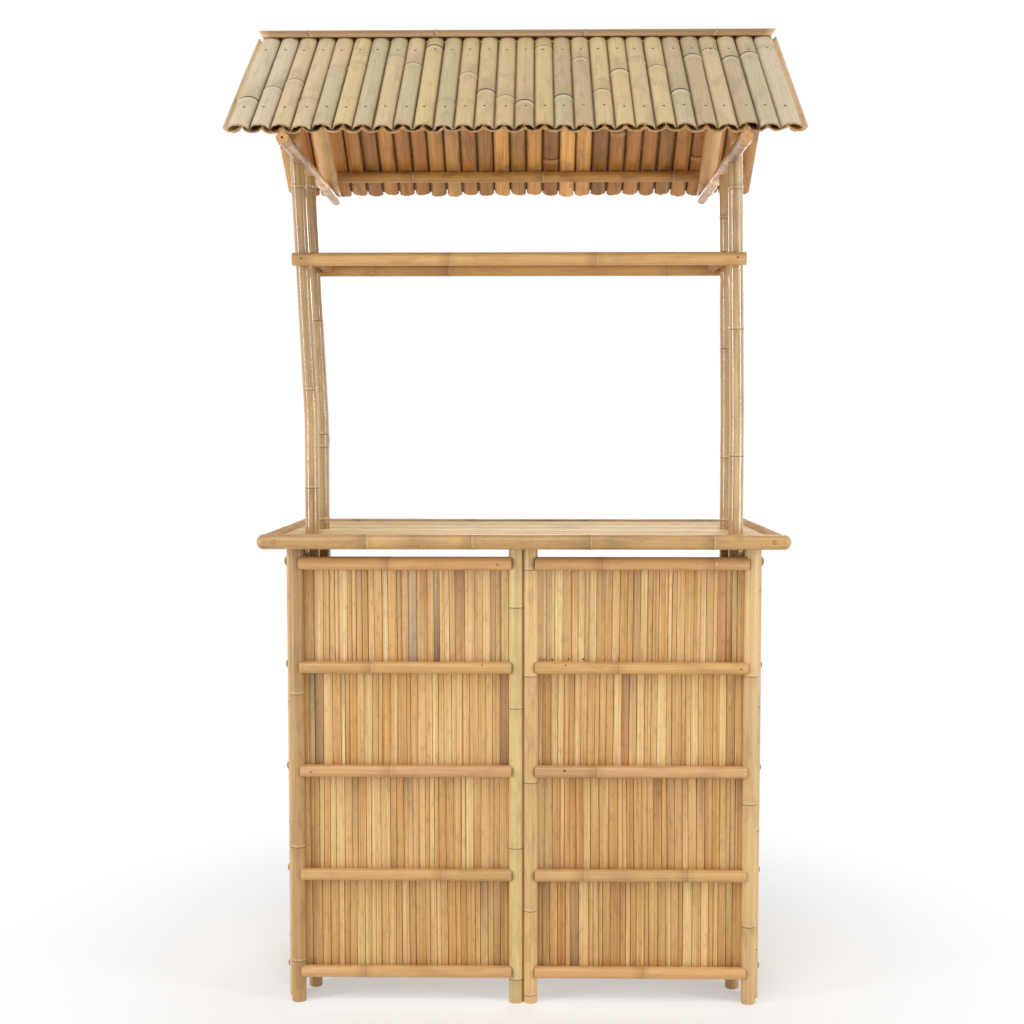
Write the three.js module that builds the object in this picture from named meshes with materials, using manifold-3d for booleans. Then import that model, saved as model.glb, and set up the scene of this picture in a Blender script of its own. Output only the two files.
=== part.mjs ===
// Tiki bar hut of bamboo: a waist-high bar with a slatted front and sides, a slatted counter,
// and a two-slope roof of split culms on four poles that stand inside the bar.
// Millimetres. X runs along the counter, Y from the guests to the barkeeper, Z up.
// The origin is on the floor, below the middle of the roof.

import * as THREE from 'three';
import { mergeVertices } from 'three/addons/utils/BufferGeometryUtils.js';
import Module from 'manifold-3d';

const wasm = await Module();
wasm.setup();

// Culms and clearances
const fitGap = 0.3;
const culmSides = 8;
const nodeSwell = 1.5;
const nodeHalfWidth = 5;
const copeLap = 4;

// Bar panels
const postDiameter = 33;
const railDiameter = 28;
const topRailDiameter = 30;
const railSetForward = 8;
const bottomRailHeight = 72;
const topRailDrop = 38;
const railShares = [0, 0.24, 0.495, 0.748, 1];
const railNodeShares = [0.27, 0.66, 0.4, 0.78, 0.52];
const frontPanelWidth = 536;
const sidePanelWidth = 516;
const frontPostLine = -257.5;
const sidePanelSetOut = 10.5;

// Slats of the panels
const frontSlatCount = 24;
const sideSlatCount = 21;
const slatThickness = 6;
const slatGrooveDepth = 2;
const slatGrooveHalfWidth = 1.2;
const slatUnevenness = 0.22;
const slatOverrun = 10;

// Counter
const counterFrontOverhang = 52.5;
const counterRearOverhang = 50;
const counterSideOverhang = 52;
const counterTopHeight = 1091;
const counterRailDiameter = 34;
const counterRailEndRounding = 9;
const counterNodeShares = [0.2, 0.43, 0.64, 0.88];
const sideRailSetIn = 5;
const sideRailNodeShare = 0.4;
const deckDrop = 8;
const deckThickness = 9;
const deckSlatCount = 22;
const deckEndGap = 3;
const battenWidth = 36;
const battenThickness = 14;

// Roof poles and crossbars
const poleDiameter = 33;
const frontPoleLine = -165;
const rearPoleLine = 0;
const poleSetIn = 3;
const poleBendHeight = 1350;
const poleSplay = 10.5;
const frontPoleNodeSpacing = 400;
const rearPoleNodeSpacing = 330;
const poleLowestNode = 60;
const crossbarDiameter = 30;
const crossbarDrop = 235;
const crossbarOverhang = 2;
const frontCrossbarNodeShares = [0.32, 0.62];
const rearCrossbarNodeShares = [0.38, 0.79];
const shortTieDiameter = 26;
const shortTieRise = 5;

// Roof frame
const roofShift = 19;
const roofSetBack = 13;
const trussTile = 11;
const trussSetIn = 8.5;
const roofPitch = THREE.MathUtils.degToRad(35.7);
const tieBeamHeight = 1953;
const tieBeamDiameter = 28;
const tieBeamFrontReach = 427;
const tieBeamRearReach = 414;
const leftTieBeamNodeShares = [0.11, 0.74];
const rightTieBeamNodeShares = [0.06, 0.67];
const rafterDiameter = 44;
const rafterFootReach = 340;
const purlinDiameter = 28;
const purlinSetIn = 30;
const eavePurlinFromFoot = 30;
const ridgePurlinAlong = 64;

// Roof covering
const tileCount = 28;
const tileHalfAngle = THREE.MathUtils.degToRad(57);
const tileWall = 4.5;
const tilePastFoot = 96;
const tileArcSteps = 4;
const ridgeClearance = 0.5;
const ridgeCapRadius = 22;
const ridgeCapWall = 5;
const ridgeCapSetIn = 3;
const ridgeCapEndSlant = 12;
const ridgeCapSteps = 6;

// Finishes
const honeyCulm = { color: 0xc79c5f, roughness: 0.5, metalness: 0 };
const paleCulm = { color: 0xcdb078, roughness: 0.5, metalness: 0 };
const honeySlat = { color: 0xc9995c, roughness: 0.6, metalness: 0 };
const greyTile = { color: 0xb7a679, roughness: 0.55, metalness: 0 };
const brownTile = { color: 0xb07f45, roughness: 0.6, metalness: 0 };

const sides = [['left', -1], ['right', 1]];
const slopes = [['front', -1], ['rear', 1]];
const bar = new THREE.Group();
bar.position.set(roofShift, -roofSetBack, 0);

function vec(x, y, z) {
  return new THREE.Vector3(x, y, z);
}

function box(low, high) {
  const size = high.clone().sub(low);
  const middle = high.clone().add(low).multiplyScalar(0.5);
  return new THREE.BoxGeometry(size.x, size.y, size.z).translate(middle.x, middle.y, middle.z);
}

function addMesh(parent, name, geometry, finish) {
  const mesh = new THREE.Mesh(geometry, new THREE.MeshStandardMaterial(finish));
  mesh.name = name;
  parent.add(mesh);
}

// Solids for joining and cutting

function toSolid(geometry) {
  const bare = geometry.clone();
  bare.deleteAttribute('normal');
  bare.deleteAttribute('uv');
  const merged = mergeVertices(bare, 1e-4);
  const corners = merged.index.array;
  const triangles = [];
  for (let i = 0; i < corners.length; i += 3) {
    const [a, b, c] = corners.slice(i, i + 3);
    if (a !== b && b !== c && c !== a) triangles.push(a, b, c);
  }
  return new wasm.Manifold(new wasm.Mesh({
    numProp: 3,
    vertProperties: new Float32Array(merged.attributes.position.array),
    triVerts: new Uint32Array(triangles),
  }));
}

function toGeometry(solid) {
  const mesh = solid.getMesh();
  const geometry = new THREE.BufferGeometry();
  geometry.setAttribute('position', new THREE.BufferAttribute(new Float32Array(mesh.vertProperties), 3));
  geometry.setIndex(new THREE.BufferAttribute(new Uint32Array(mesh.triVerts), 1));
  return geometry;
}

function cut(geometry, rooms) {
  return toGeometry(rooms.reduce((solid, room) => solid.subtract(toSolid(room)), toSolid(geometry)));
}

function join(geometries) {
  const [first, ...rest] = geometries.map(toSolid);
  return toGeometry(rest.reduce((solid, extra) => solid.add(extra), first));
}

// A culm is turned about its own axis, with a low swelling at each node and flat or rounded ends.
// Its nodes are distances from its start. It has an edge at its top, at its bottom and on each side.
function culm({ start, end, diameter, nodes = [], endRounding = 0 }, gap = 0) {
  const length = start.distanceTo(end);
  const radius = diameter / 2 + gap / Math.cos(Math.PI / culmSides);
  const profile = [[0, 0]];
  if (endRounding > 0) profile.push([0.45 * radius, 0], [0.85 * radius, 0.35 * endRounding]);
  profile.push([radius, endRounding]);
  for (const node of nodes) {
    profile.push([radius, node - nodeHalfWidth]);
    profile.push([radius + nodeSwell, node]);
    profile.push([radius, node + nodeHalfWidth]);
  }
  profile.push([radius, length - endRounding]);
  if (endRounding > 0) profile.push([0.85 * radius, length - 0.35 * endRounding], [0.45 * radius, length]);
  profile.push([0, length]);
  const outline = profile.map(([x, y]) => new THREE.Vector2(x, y));
  const geometry = new THREE.LatheGeometry(outline, culmSides);
  geometry.rotateX(Math.PI / 2);
  const turn = new THREE.Quaternion().setFromUnitVectors(vec(0, 0, 1), end.clone().sub(start).normalize());
  geometry.applyQuaternion(turn);
  return geometry.translate(start.x, start.y, start.z);
}

// The room that a culm needs in a neighbour that is fitted round it.
function roomFor(piece) {
  return culm(piece, fitGap);
}

// Half a culm's width at a distance from its axis.
function halfWidthAt(radius, offset) {
  return radius - offset * Math.tan(Math.PI / culmSides);
}

// Widths that are a little uneven, as shares of one, the same at each run.
function unevenShares(count, unevenness, seed) {
  let state = seed;
  const widths = [];
  for (let i = 0; i < count; i += 1) {
    state = (state * 16807) % 2147483647;
    widths.push(1 + unevenness * (2 * (state / 2147483647) - 1));
  }
  const sum = widths.reduce((total, width) => total + width, 0);
  return widths.map((width) => width / sum);
}

// A row of slats side by side, with a flat back on the X axis and a V between each two slats.
// Its front is towards -Y, and it is drawn up along Z.
function slatRow(width, thickness, count, height, seed) {
  const points = [[-width / 2, 0], [-width / 2, -thickness]];
  let edge = -width / 2;
  for (const share of unevenShares(count, slatUnevenness, seed).slice(0, -1)) {
    edge += share * width;
    points.push([edge - slatGrooveHalfWidth, -thickness]);
    points.push([edge, -thickness + slatGrooveDepth]);
    points.push([edge + slatGrooveHalfWidth, -thickness]);
  }
  points.push([width / 2, -thickness], [width / 2, 0]);
  const outline = new THREE.Shape(points.map(([x, y]) => new THREE.Vector2(x, y)));
  return new THREE.ExtrudeGeometry(outline, { depth: height, bevelEnabled: false, steps: 1 });
}

// Bar panels: each is a frame of two posts and five rails, with slats nailed behind the rails

const postRadius = postDiameter / 2;
const slatFront = railDiameter / 2 + nodeSwell + fitGap - railSetForward;
const deckUnderside = counterTopHeight - deckDrop - deckThickness;
const postTop = deckUnderside - battenThickness - fitGap;
const railRise = postTop - topRailDrop - bottomRailHeight;
const railHeights = railShares.map((share) => Math.round(bottomRailHeight + share * railRise));
const bays = railHeights.slice(1).map((height, i) => [railHeights[i], height]);

// A panel in its own frame, with its front towards -Y and its middle on the Z axis. The first post's
// nodes are in the even or the odd bays, and the second post's nodes are in the others.
function addPanel({ name, width, slatCount, postNames, firstNodeBay, seed, position, turn }) {
  const panel = new THREE.Group();
  panel.position.copy(position);
  panel.rotation.z = turn;
  bar.add(panel);

  const postPlace = width / 2 - postRadius;
  const bayMiddles = bays.map(([low, high]) => (low + high) / 2);
  const posts = [-postPlace, postPlace].map((place, i) => ({
    start: vec(place, 0, 0),
    end: vec(place, 0, postTop),
    diameter: postDiameter,
    nodes: bayMiddles.filter((_, bay) => bay % 2 === (firstNodeBay + i) % 2),
  }));
  posts.forEach((post, i) => addMesh(panel, `${name}_${postNames[i]}_post`, culm(post), paleCulm));

  const railEnd = postPlace - postRadius + copeLap;
  railHeights.forEach((height, i) => {
    const diameter = i === railHeights.length - 1 ? topRailDiameter : railDiameter;
    const line = (railDiameter - diameter) / 2 - railSetForward;
    const rail = {
      start: vec(-railEnd, line, height),
      end: vec(railEnd, line, height),
      diameter,
      nodes: [2 * railEnd * railNodeShares[i]],
    };
    addMesh(panel, `${name}_rail_${i + 1}`, cut(culm(rail), posts.map(roomFor)), honeyCulm);
  });

  const fieldWidth = 2 * (postPlace - halfWidthAt(postRadius + nodeSwell, slatFront) - fitGap);
  const rows = bays.map(([low, high], i) => {
    const bottom = i === 0 ? low - slatOverrun : low;
    const top = i === bays.length - 1 ? high + slatOverrun : high;
    const row = slatRow(fieldWidth, slatThickness, slatCount, top - bottom, seed + 101 * i);
    return row.translate(0, slatFront + slatThickness, bottom);
  });
  addMesh(panel, `${name}_slats`, join(rows), honeySlat);
}

// The two front panels stand side by side.
const frontPanelPlace = (frontPanelWidth + 2 * nodeSwell + fitGap) / 2;
for (const [side, sign] of sides) {
  addPanel({
    name: `front_${side}`,
    width: frontPanelWidth,
    slatCount: frontSlatCount,
    postNames: sign < 0 ? ['outer', 'inner'] : ['inner', 'outer'],
    firstNodeBay: sign < 0 ? 0 : 1,
    seed: sign < 0 ? 11 : 23,
    position: vec(sign * frontPanelPlace, frontPostLine, 0),
    turn: 0,
  });
}

// Each side panel's front post stands right behind the front panel's outer post, set out a little.
const outerPostPlace = frontPanelPlace + frontPanelWidth / 2 - postRadius;
const sidePanelPlace = outerPostPlace + sidePanelSetOut;
const postSpacing = postDiameter + 2 * nodeSwell + fitGap;
const sidePostLine = frontPostLine + Math.sqrt(postSpacing ** 2 - sidePanelSetOut ** 2);
for (const [side, sign] of sides) {
  addPanel({
    name: `side_${side}`,
    width: sidePanelWidth,
    slatCount: sideSlatCount,
    postNames: sign < 0 ? ['rear', 'front'] : ['front', 'rear'],
    firstNodeBay: sign < 0 ? 0 : 1,
    seed: sign < 0 ? 37 : 53,
    position: vec(sign * sidePanelPlace, sidePostLine + sidePanelWidth / 2 - postRadius, 0),
    turn: sign * Math.PI / 2,
  });
}

// Roof poles stand just inside the side slats. From one of their nodes up they lean to meet the roof.

const poleRadius = poleDiameter / 2;
const sideSlatInner = sidePanelPlace - slatFront - slatThickness;
const poleFootPlace = sideSlatInner - fitGap - nodeSwell - poleRadius - poleSetIn;
const poleHeadPlace = poleFootPlace + poleSplay;

function poleShift(sign, height) {
  const share = Math.max(height - poleBendHeight, 0) / (tieBeamHeight - poleBendHeight);
  return share * (sign * poleSplay - roofShift);
}

function polePlace(sign, height) {
  return sign * poleFootPlace + poleShift(sign, height);
}

// Places on the roof. A place on a slope is a distance down the rafters' axis from the ridge, and one
// square out from that axis. The rafters, the purlins and the covering lie on each other in that order.

const rafterHead = tieBeamHeight + rafterFootReach * Math.tan(roofPitch);
const rafterFootAlong = rafterFootReach / Math.cos(roofPitch);
const purlinOut = rafterDiameter / 2 + fitGap + purlinDiameter / 2;
const lowerLayerOut = purlinOut + purlinDiameter / 2 + fitGap;

function onSlope(sign, x, along, out) {
  const y = roofSetBack + sign * (along * Math.cos(roofPitch) + out * Math.sin(roofPitch));
  return vec(x, y, rafterHead - along * Math.sin(roofPitch) + out * Math.cos(roofPitch));
}

// Roof covering: half culms side by side. The lower ones lie hollow side up on the purlins, and the
// upper ones lie hollow side down over the joints of the lower ones. Each layer is one wave of arcs,
// and is so wide that a joint of the lower layer comes over each tie beam.

const trussPlace = poleHeadPlace - trussSetIn;
const tilePitch = trussPlace / (trussTile + 0.5);
const tileLength = rafterFootAlong + tilePastFoot;
const coveringWidth = (tileCount + 1) * tilePitch;
const tileRadius = tilePitch / 2 / Math.sin(tileHalfAngle);
const tileBore = tileRadius - tileWall;
const tileLipHalf = tilePitch / 2 - tileBore * Math.sin(tileHalfAngle);
const tileLipHeight = tileBore * Math.cos(tileHalfAngle);
const tileFacet = tileHalfAngle / tileArcSteps;
const lowerArcOut = lowerLayerOut + tileRadius;
const upperLayerOut = lowerArcOut - tileBore + tileLipHalf * Math.tan(tileFacet) + fitGap;
const upperArcOut = upperLayerOut - tileLipHeight;

// Arcs side by side, with their middles on the X axis and their crowns towards +Y.
function arcs(count, radius) {
  const points = [];
  for (let i = 0; i < count; i += 1) {
    const middle = (i - (count - 1) / 2) * tilePitch;
    for (let step = -tileArcSteps; step <= tileArcSteps; step += 2) {
      const angle = step * tileFacet;
      points.push(new THREE.Vector2(middle + radius * Math.sin(angle), radius * Math.cos(angle)));
    }
  }
  return points;
}

// A layer's outline along a slope, from its start to past its end by a gap. Its points are measured
// across the slope and out of it, and the start is where startOut meets the ridge's upright plane.
function alongSlope(sign, points, arcOut, startOut, gap = 0) {
  const extrusion = { depth: tileLength + 2 * gap, bevelEnabled: false, steps: 1 };
  const geometry = new THREE.ExtrudeGeometry(new THREE.Shape(points), extrusion);
  const across = vec(-sign, 0, 0);
  const out = vec(0, sign * Math.sin(roofPitch), Math.cos(roofPitch));
  const down = vec(0, sign * Math.cos(roofPitch), -Math.sin(roofPitch));
  const start = ridgeClearance / Math.cos(roofPitch) - startOut * Math.tan(roofPitch) - gap;
  const frame = new THREE.Matrix4().makeBasis(across, out, down);
  return geometry.applyMatrix4(frame.setPosition(onSlope(sign, -roofShift, start, arcOut)));
}

for (const [slope, sign] of slopes) {
  const lower = [...arcs(tileCount + 1, tileRadius), ...arcs(tileCount + 1, tileBore).reverse()];
  const lowerOutline = lower.map(({ x, y }) => new THREE.Vector2(x, -y));
  const lowerTiles = alongSlope(sign, lowerOutline, lowerArcOut, lowerLayerOut);
  addMesh(bar, `${slope}_lower_tiles`, lowerTiles, brownTile);
  const upperOutline = [...arcs(tileCount, tileRadius), ...arcs(tileCount, tileBore).reverse()];
  const upperTiles = alongSlope(sign, upperOutline, upperArcOut, upperLayerOut);
  addMesh(bar, `${slope}_upper_tiles`, upperTiles, greyTile);
}

// The room of the lower half culms in what they rest on: their underside and all that is above it.
function coveringRoom(sign) {
  const shift = fitGap / Math.cos(tileHalfAngle - tileFacet);
  const underside = arcs(tileCount + 1, tileRadius).map(({ x, y }) => new THREE.Vector2(x, -y - shift));
  const edge = underside.at(-1).x;
  const points = [...underside, new THREE.Vector2(edge, tileRadius), new THREE.Vector2(-edge, tileRadius)];
  return alongSlope(sign, points, lowerArcOut, lowerLayerOut, fitGap);
}

// Tie beams, poles and crossbars. Each tie beam is trimmed where the lower half culms touch it. Each
// pole is cut level at the floor and to a saddle under its tie beam.

const tieBeamLength = tieBeamFrontReach + tieBeamRearReach;
const tieBeams = [
  ['left', -1, leftTieBeamNodeShares],
  ['right', 1, rightTieBeamNodeShares],
].map(([side, sign, nodeShares]) => ({
  name: `tie_beam_${side}`,
  start: vec(sign * trussPlace - roofShift, roofSetBack - tieBeamFrontReach, tieBeamHeight),
  end: vec(sign * trussPlace - roofShift, roofSetBack + tieBeamRearReach, tieBeamHeight),
  diameter: tieBeamDiameter,
  nodes: nodeShares.map((share) => share * tieBeamLength),
}));
const coveringRooms = [coveringRoom(-1), coveringRoom(1)];
tieBeams.forEach((beam) => addMesh(bar, beam.name, cut(culm(beam), coveringRooms), paleCulm));

const crossbarHeight = tieBeamHeight - crossbarDrop;
const poles = [];
for (const [depth, line, spacing] of [
  ['front', frontPoleLine, frontPoleNodeSpacing],
  ['rear', rearPoleLine, rearPoleNodeSpacing],
]) {
  const nodes = [];
  for (let height = poleBendHeight; height > poleLowestNode; height -= spacing) {
    nodes.unshift(height + poleDiameter);
  }
  sides.forEach(([side, sign], i) => {
    poles.push({
      name: `${depth}_pole_${side}`,
      sign,
      start: vec(sign * poleFootPlace, line, -poleDiameter),
      end: vec(sign * poleFootPlace, line, tieBeamHeight),
      diameter: poleDiameter,
      nodes,
      beam: tieBeams[i],
    });
  });
}

function bentPole(pole) {
  const geometry = culm(pole);
  const points = geometry.attributes.position;
  for (let i = 0; i < points.count; i += 1) {
    points.setX(i, points.getX(i) + poleShift(pole.sign, points.getZ(i)));
  }
  return geometry;
}

for (const pole of poles) {
  const underFloor = box(
    vec(pole.start.x - poleDiameter, pole.start.y - poleDiameter, -2 * poleDiameter),
    vec(pole.start.x + poleDiameter, pole.start.y + poleDiameter, 0),
  );
  addMesh(bar, pole.name, cut(bentPole(pole), [roomFor(pole.beam), underFloor]), honeyCulm);
}

const crossbarRadius = crossbarDiameter / 2;
const poleSpacing = polePlace(1, crossbarHeight) - polePlace(-1, crossbarHeight);
const crossbarLength = poleSpacing + poleDiameter + 2 * crossbarOverhang;
const frontCrossbarLine = frontPoleLine - poleRadius - fitGap - crossbarRadius;
const rearCrossbarLine = rearPoleLine + poleRadius + fitGap + crossbarRadius;
const crossbarMiddle = (polePlace(1, crossbarHeight) + polePlace(-1, crossbarHeight)) / 2;
const crossbars = [
  ['front', frontCrossbarLine, frontCrossbarNodeShares],
  ['rear', rearCrossbarLine, rearCrossbarNodeShares],
].map(([depth, line, nodeShares]) => ({
  name: `${depth}_crossbar`,
  start: vec(crossbarMiddle - crossbarLength / 2, line, crossbarHeight),
  end: vec(crossbarMiddle + crossbarLength / 2, line, crossbarHeight),
  diameter: crossbarDiameter,
  nodes: nodeShares.map((share) => share * crossbarLength),
}));
crossbars.forEach((crossbar) => addMesh(bar, crossbar.name, culm(crossbar), honeyCulm));

// A short tie is fitted between the crossbars beside each pair of poles.
const shortTieHeight = crossbarHeight + shortTieRise;
for (const [side, sign] of sides) {
  const beside = poleRadius + nodeSwell + fitGap + shortTieDiameter / 2;
  const place = polePlace(sign, shortTieHeight) - sign * beside;
  const tie = {
    start: vec(place, frontCrossbarLine + crossbarRadius - copeLap, shortTieHeight),
    end: vec(place, rearCrossbarLine - crossbarRadius + copeLap, shortTieHeight),
    diameter: shortTieDiameter,
  };
  addMesh(bar, `short_tie_${side}`, cut(culm(tie), crossbars.map(roomFor)), honeyCulm);
}

// Counter: two long rails, two side rails fitted between them, and a deck of slats on battens.
// The battens lie on the panels' posts, and the poles come up through the deck.

const counterRailRadius = counterRailDiameter / 2;
const counterRailHeight = counterTopHeight - counterRailRadius;
const counterWidth = 2 * (sidePanelPlace + postRadius + counterSideOverhang);
const counterFront = frontPostLine - postRadius - counterFrontOverhang;
const counterRear = sidePostLine + sidePanelWidth - postRadius + counterRearOverhang;
const longRails = [
  ['front', counterFront + counterRailRadius],
  ['rear', counterRear - counterRailRadius],
].map(([depth, line]) => ({
  name: `counter_${depth}_rail`,
  start: vec(-counterWidth / 2, line, counterRailHeight),
  end: vec(counterWidth / 2, line, counterRailHeight),
  diameter: counterRailDiameter,
  nodes: counterNodeShares.map((share) => share * counterWidth),
  endRounding: counterRailEndRounding,
}));
longRails.forEach((rail) => addMesh(bar, rail.name, culm(rail), honeyCulm));
const longRailRooms = longRails.map(roomFor);

const sideRailPlace = counterWidth / 2 - sideRailSetIn - counterRailRadius;
for (const [side, sign] of sides) {
  const rail = {
    start: vec(sign * sideRailPlace, longRails[0].start.y, counterRailHeight),
    end: vec(sign * sideRailPlace, longRails[1].start.y, counterRailHeight),
    diameter: counterRailDiameter,
    nodes: [sideRailNodeShare * (counterRear - counterFront)],
  };
  addMesh(bar, `counter_${side}_rail`, cut(culm(rail), longRailRooms), honeyCulm);
}

const counterMiddleLine = (counterFront + counterRear) / 2;
const deckDepth = counterRear - counterFront - 2 * (counterRailDiameter + nodeSwell + fitGap);
const deckLength = 2 * (sideRailPlace - counterRailRadius - deckEndGap);
const deckSlats = slatRow(deckDepth, deckThickness, deckSlatCount, deckLength, 71);
const deckFrame = new THREE.Matrix4().makeBasis(vec(0, -1, 0), vec(0, 0, -1), vec(1, 0, 0));
deckFrame.setPosition(-deckLength / 2, counterMiddleLine, deckUnderside);
deckSlats.applyMatrix4(deckFrame);
const battens = [-sidePanelPlace, 0, sidePanelPlace].map((place) => box(
  vec(place - battenWidth / 2, longRails[0].start.y, deckUnderside - battenThickness),
  vec(place + battenWidth / 2, longRails[1].start.y, deckUnderside + deckThickness / 2),
));
const battenEnds = battens.map((batten) => cut(batten, longRailRooms));
addMesh(bar, 'counter_deck', cut(join([deckSlats, ...battenEnds]), poles.map(roomFor)), honeySlat);

// Roof frame: two rafters stand on each tie beam and meet at the ridge, and purlins lie on them.

sides.forEach(([side], i) => {
  const place = tieBeams[i].start.x;
  const spare = rafterDiameter;
  for (const [slope, sign] of slopes) {
    const rafter = {
      start: onSlope(sign, place, -spare, 0),
      end: onSlope(sign, place, rafterFootAlong + spare, 0),
      diameter: rafterDiameter,
      nodes: [spare + 0.68 * rafterFootAlong],
    };
    const below = box(
      vec(place - rafterDiameter, roofSetBack - 2 * rafterFootReach, tieBeamHeight - 2 * spare),
      vec(place + rafterDiameter, roofSetBack + 2 * rafterFootReach, tieBeamHeight),
    );
    const ridgeFace = roofSetBack + sign * fitGap / 2;
    const acrossRidge = [ridgeFace, ridgeFace - 2 * sign * spare];
    const beyond = box(
      vec(place - rafterDiameter, Math.min(...acrossRidge), rafterHead - 2 * spare),
      vec(place + rafterDiameter, Math.max(...acrossRidge), rafterHead + 2 * spare),
    );
    const geometry = cut(culm(rafter), [roomFor(tieBeams[i]), below, beyond]);
    addMesh(bar, `${slope}_rafter_${side}`, geometry, honeyCulm);
  }
});

// A purlin's nodes lie between two of the lower half culms, which rest on it.
const purlinLength = coveringWidth - 2 * purlinSetIn;
const eavePurlinAlong = rafterFootAlong - eavePurlinFromFoot;
for (const [part, along, nodeTile] of [['eave', eavePurlinAlong, -4], ['ridge', ridgePurlinAlong, 5]]) {
  for (const [slope, sign] of slopes) {
    const purlin = {
      start: onSlope(sign, -roofShift - purlinLength / 2, along, purlinOut),
      end: onSlope(sign, -roofShift + purlinLength / 2, along, purlinOut),
      diameter: purlinDiameter,
      nodes: [purlinLength / 2 + (nodeTile + 0.5) * tilePitch],
    };
    addMesh(bar, `${slope}_${part}_purlin`, culm(purlin), honeyCulm);
  }
}

// Ridge cap: half a culm that lies hollow side down on the crowns, with its ends cut at a slant
const ridgeCapLength = coveringWidth - 2 * ridgeCapSetIn;
const crownOut = upperArcOut + tileRadius;
const crownRidge = rafterHead + crownOut / Math.cos(roofPitch);
const ridgeCapBore = ridgeCapRadius - ridgeCapWall;
const ridgeCapHeight = crownRidge - ridgeCapBore * Math.tan(roofPitch) + fitGap / Math.cos(roofPitch);
const capRays = Array.from({ length: ridgeCapSteps + 1 }, (_, i) => {
  const angle = Math.PI * i / ridgeCapSteps;
  return new THREE.Vector2(Math.cos(angle), Math.sin(angle));
});
const capOuter = capRays.map((ray) => ray.clone().multiplyScalar(ridgeCapRadius));
const capInner = capRays.map((ray) => ray.clone().multiplyScalar(ridgeCapBore));
const capOutline = new THREE.Shape([...capOuter, ...capInner.reverse()]);
const capExtrusion = { depth: ridgeCapLength, bevelEnabled: false, steps: 1 };
const ridgeCap = new THREE.ExtrudeGeometry(capOutline, capExtrusion);
const capPoints = ridgeCap.attributes.position;
for (let i = 0; i < capPoints.count; i += 1) {
  const inward = ridgeCapEndSlant * (1 - capPoints.getY(i) / ridgeCapRadius);
  capPoints.setZ(i, capPoints.getZ(i) > 0 ? ridgeCapLength - inward : inward);
}
const capFrame = new THREE.Matrix4().makeBasis(vec(0, 1, 0), vec(0, 0, 1), vec(1, 0, 0));
capFrame.setPosition(-roofShift - ridgeCapLength / 2, roofSetBack, ridgeCapHeight);
addMesh(bar, 'ridge_cap', ridgeCap.applyMatrix4(capFrame), greyTile);

export default bar;
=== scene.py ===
# Bamboo bar hut: a waist-high bar with slatted front and sides, a slatted counter, and a small roof of
# split culms on four poles. Lengths are in mm here and become metres when a mesh is made.
import math

import bpy
import numpy as np
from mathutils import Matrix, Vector


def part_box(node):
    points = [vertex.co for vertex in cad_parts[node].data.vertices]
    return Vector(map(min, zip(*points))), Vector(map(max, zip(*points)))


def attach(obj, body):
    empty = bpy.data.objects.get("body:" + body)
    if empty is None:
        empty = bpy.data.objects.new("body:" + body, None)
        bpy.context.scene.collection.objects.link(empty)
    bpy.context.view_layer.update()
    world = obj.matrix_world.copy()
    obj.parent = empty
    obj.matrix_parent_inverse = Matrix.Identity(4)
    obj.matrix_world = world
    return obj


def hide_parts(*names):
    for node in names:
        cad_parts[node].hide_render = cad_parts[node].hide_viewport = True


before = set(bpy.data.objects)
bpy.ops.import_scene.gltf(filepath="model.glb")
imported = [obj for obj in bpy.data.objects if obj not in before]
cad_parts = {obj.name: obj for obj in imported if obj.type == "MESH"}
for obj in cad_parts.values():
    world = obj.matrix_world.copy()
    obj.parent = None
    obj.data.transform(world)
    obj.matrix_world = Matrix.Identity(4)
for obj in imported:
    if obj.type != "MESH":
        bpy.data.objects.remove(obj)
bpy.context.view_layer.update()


# Studio. A pale floor that runs out into white, soft light from a white room, from tall lamps on both
# sides, from one high in front and one behind, and a camera before the bar at a guest's chest height.
scene = bpy.context.scene
scene.view_settings.view_transform = "Standard"
white = (1, 1, 1, 1)


def tint(code):
    """Linear colour of a screen colour given as six hex digits: a share up to 0.04045 is divided by 12.92,
    and a larger one has 0.055 added, is divided by 1.055 and is raised to the power 2.4."""
    share = np.array([int(code[i:i + 2], 16) for i in (0, 2, 4)]) / 255
    linear = np.where(share <= 0.04045, share / 12.92, ((share + 0.055) / 1.055) ** 2.4)
    return (*linear.tolist(), 1.0)


def add_node(tree, kind, inputs=(), **settings):
    """One shader node. Inputs are pairs of a socket's name or number and a value or another socket."""
    node = tree.nodes.new(kind)
    for key, value in settings.items():
        setattr(node, key, value)
    for key, value in inputs:
        if isinstance(value, bpy.types.NodeSocket):
            tree.links.new(value, node.inputs[key])
        else:
            node.inputs[key].default_value = value
    return node


def maths(tree, operation, *values):
    """What a math node makes of one or two values, each a number or a socket."""
    return add_node(tree, "ShaderNodeMath", enumerate(values), operation=operation).outputs[0]


def ranged(tree, value, low, high, start=0.0, end=1.0, curve="LINEAR"):
    """A value that runs from start to end while another runs from low to high, and is held outside."""
    ends = [("From Min", low), ("From Max", high), ("To Min", start), ("To Max", end)]
    return add_node(tree, "ShaderNodeMapRange", [("Value", value), *ends],
                    interpolation_type=curve).outputs[0]


def empty_tree(owner):
    """The node tree of a world or a material, emptied."""
    owner.use_nodes = True
    owner.node_tree.nodes.clear()
    return owner.node_tree


def put_out_mix(tree, share, first, second, output):
    """Two shaders mixed by a share and put out."""
    shaders = (share, first.outputs[0], second.outputs[0])
    mixed = add_node(tree, "ShaderNodeMixShader", enumerate(shaders))
    add_node(tree, output, [("Surface", mixed.outputs[0])])


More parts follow.
